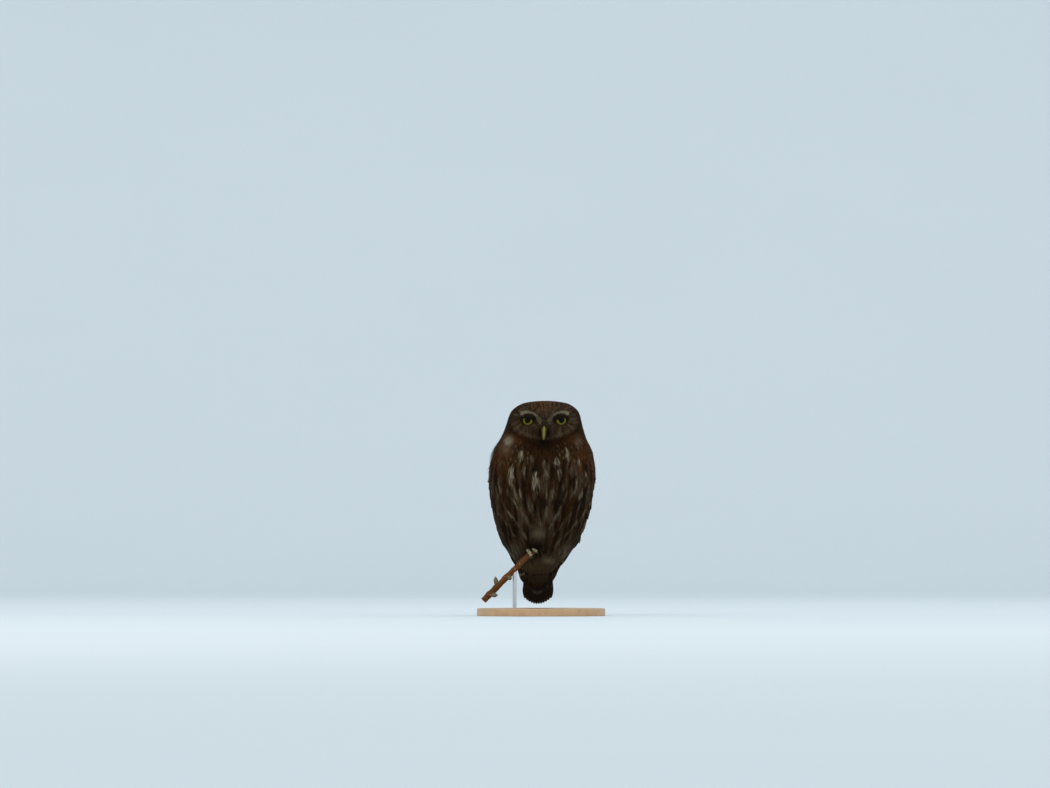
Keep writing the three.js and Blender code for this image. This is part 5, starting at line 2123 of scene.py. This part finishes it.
def twig_body(rng):
    t = np.linspace(0, 1, 220)
    at, _, forward, up = twig_frame(t)
    knots = sum(bell(at[:, 0] - x, 2.6) for x, *_ in BUDS)
    turn = np.linspace(0, 2 * math.pi, 28, endpoint=False)
    wobble = sum(
        rng.uniform(0.02, 0.05)
        * np.cos(k * turn + rng.uniform(0, 6) + 60 * f * t[:, None] + rng.uniform(0, 6))
        for k, f in ((1, 0.3), (2, 0.7), (3, 1.1), (5, 2.3), (7, 3.1))
    )
    radius = (twig_radius(t) * (1 + 0.14 * knots))[:, None] * (1 + wobble)
    radius[0] -= 0.25
    radius[-1] -= 0.25
    ring = np.cos(turn)[None, :, None] * forward[:, None] + np.sin(turn)[None, :, None] * up[:, None]
    return rings_to_body(at[:, None] + radius[..., None] * ring)


def bud_scales(x, side, turn, length):
    """A bud as overlapping pointed scales round a short spindle."""
    at, along, forward, up = twig_frame(twig_share(x))
    tilt = math.radians(turn)
    away = up * side * math.cos(tilt) + forward * abs(math.sin(tilt)) + along * 0.75
    away = unit(away)
    root = at + away * (twig_radius(twig_share(x)) - 0.8)
    across = unit(np.cross(away, forward))
    other = np.cross(away, across)
    profile = curve_through([(0, 1.5), (0.15, 1.75), (0.45, 2.15), (0.75, 1.5), (1, 0.12)])
    bodies = []
    for layer, (start, count, swell) in enumerate([(0.0, 3, 1.06), (0.22, 3, 1.0), (0.45, 3, 0.92)]):
        for k in range(count):
            middle = 2 * math.pi * (k / count + layer / 6)
            s = np.linspace(0, 1, 12)
            t = start + (1.02 - start) * s * (0.75 if layer == 0 else 0.9 if layer == 1 else 1)
            half_turn = 1.35 * np.sqrt(np.maximum(0.004, 1 - s**2.2))
            rings = []
            for thick in (swell + 0.09, swell - 0.14):
                angles = middle + half_turn[:, None] * np.linspace(-1, 1, 7)
                radius = (profile(np.clip(t, 0, 1)) * thick)[:, None]
                ring = np.cos(angles)[..., None] * across + np.sin(angles)[..., None] * other
                rings.append(root + (t * length)[:, None, None] * away + radius[..., None] * ring)
            bodies.append(rings_to_body(np.concatenate([rings[0], rings[1][:, ::-1]], 1)))
    return joined(bodies)


twig_parts = [twig_body(np.random.default_rng(100)), *[bud_scales(*bud) for bud in BUDS]]
twig = piece("twig_with_buds", *joined(twig_parts), bark_material(), "bark")
sizes = [len(points) for points, _ in twig_parts]
note(twig, "bud", np.repeat([0, 1, 1, 1], sizes) * 0.85)
twig_points = twig_parts[0][0]
ends = spline(TWIG_ROUTE, np.array([0.0, 1.0]))
from_end = np.min([np.linalg.norm(twig_points - end, axis=-1) for end in ends], 0)
note(twig, "cut", np.concatenate([1 - smooth(from_end, 2.4, 2.75), np.zeros(sum(sizes[1:]))]))
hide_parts("perch_twig")

# %% [markdown]
# ## Stand
# A turned beech disc and a brushed steel rod, the plainest stand a preparator makes. Turning leaves
# fine rings and a softened edge, so the profile is lathed with rounded corners.

# %% Stand
BASE_RADIUS = 68
ROD_RADIUS = 2
ROD_X = -28
GAP = 0.3


def lathe(profile, sides):
    """A body of revolution about +Z from radii and heights."""
    turn = np.linspace(0, 2 * math.pi, sides, endpoint=False)
    radius, height = np.array(profile).T
    rings = np.stack(
        np.broadcast_arrays(
            radius[:, None] * np.cos(turn), radius[:, None] * np.sin(turn), height[:, None]
        ),
        -1,
    )
    return rings_to_body(rings)


def corner(radius, height, round_off, start):
    """A quarter round of a turned edge, from one angle in degrees to 90 more."""
    turn = np.radians(np.linspace(start, start + 90, 9))
    return [(radius + round_off * math.cos(a), height + round_off * math.sin(a)) for a in turn]


def beech_material():
    """Beech, turned and oiled: pale pinkish brown, with short dark flecks along the grain."""
    material, tree, shader = start_material(
        "oiled beech", 0.45, Coat_Weight=0.12, Coat_Roughness=0.3
    )
    place = object_place(tree)
    grain = noise(tree, stretched(tree, place, (6, 160, 60)), 1.6, 6.0)
    fleck = noise(tree, stretched(tree, place, (260, 1600, 900)), 1.0)
    colour = blend(tree, grain, linear("#a47e58"), linear("#c9a67e"))
    dark = spread(tree, fleck, 0.62, 0.72, 0.0, 0.45)
    colour = blend(tree, dark, colour, linear("#7d5636"))
    paint(tree, shader, colour)
    bump(tree, shader, grain, 0.15, 0.15)
    return material


def steel_material():
    """Stainless steel, brushed round the rod: bright, with fine cross scratches."""
    material, tree, shader = start_material("brushed stainless steel", 0.32, Metallic=1.0)
    scratch = noise(tree, stretched(tree, object_place(tree), (60, 60, 4200)), 1.0, 3.0)
    colour = blend(tree, scratch, linear("#a9acb0"), linear("#d0d2d4"))
    paint(tree, shader, colour)
    rough = spread(tree, scratch, 0.2, 0.8, 0.26, 0.42)
    tree.links.new(rough, shader.inputs["Roughness"])
    bump(tree, shader, scratch, 0.2, 0.05)
    return material


EDGE_ROUND = 1.6
base_profile = [
    (0.5, 0),
    *corner(BASE_RADIUS - 0.8, 0.8, 0.8, -90),
    *corner(BASE_RADIUS - EDGE_ROUND, BASE_THICK - EDGE_ROUND, EDGE_ROUND, 0),
    (BASE_RADIUS - 5, BASE_THICK),
    (0.5, BASE_THICK),
]
base = piece("turned_base", *lathe(base_profile, 160), beech_material(), "turned_wood", 30)
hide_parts("stand_base")

rod_share = twig_share(ROD_X)
rod_top = spline(TWIG_ROUTE, rod_share) - [0, 0, twig_radius(rod_share) + GAP]
rod_low, rod_high = BASE_THICK - 0.5, rod_top[2] + 1
rod_profile = [(0.05, rod_low), (ROD_RADIUS, rod_low), (ROD_RADIUS, rod_high), (0.05, rod_high)]
rod_points, rod_faces = lathe(rod_profile, 40)
rod_points = rod_points + [*rod_top[:2], 0]
rod = piece("steel_rod", rod_points, rod_faces, steel_material(), "rod_steel", 30)
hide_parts("stand_rod")
print("rod:", round(rod_top[2] - BASE_THICK, 1), "mm tall")

# %% [markdown]
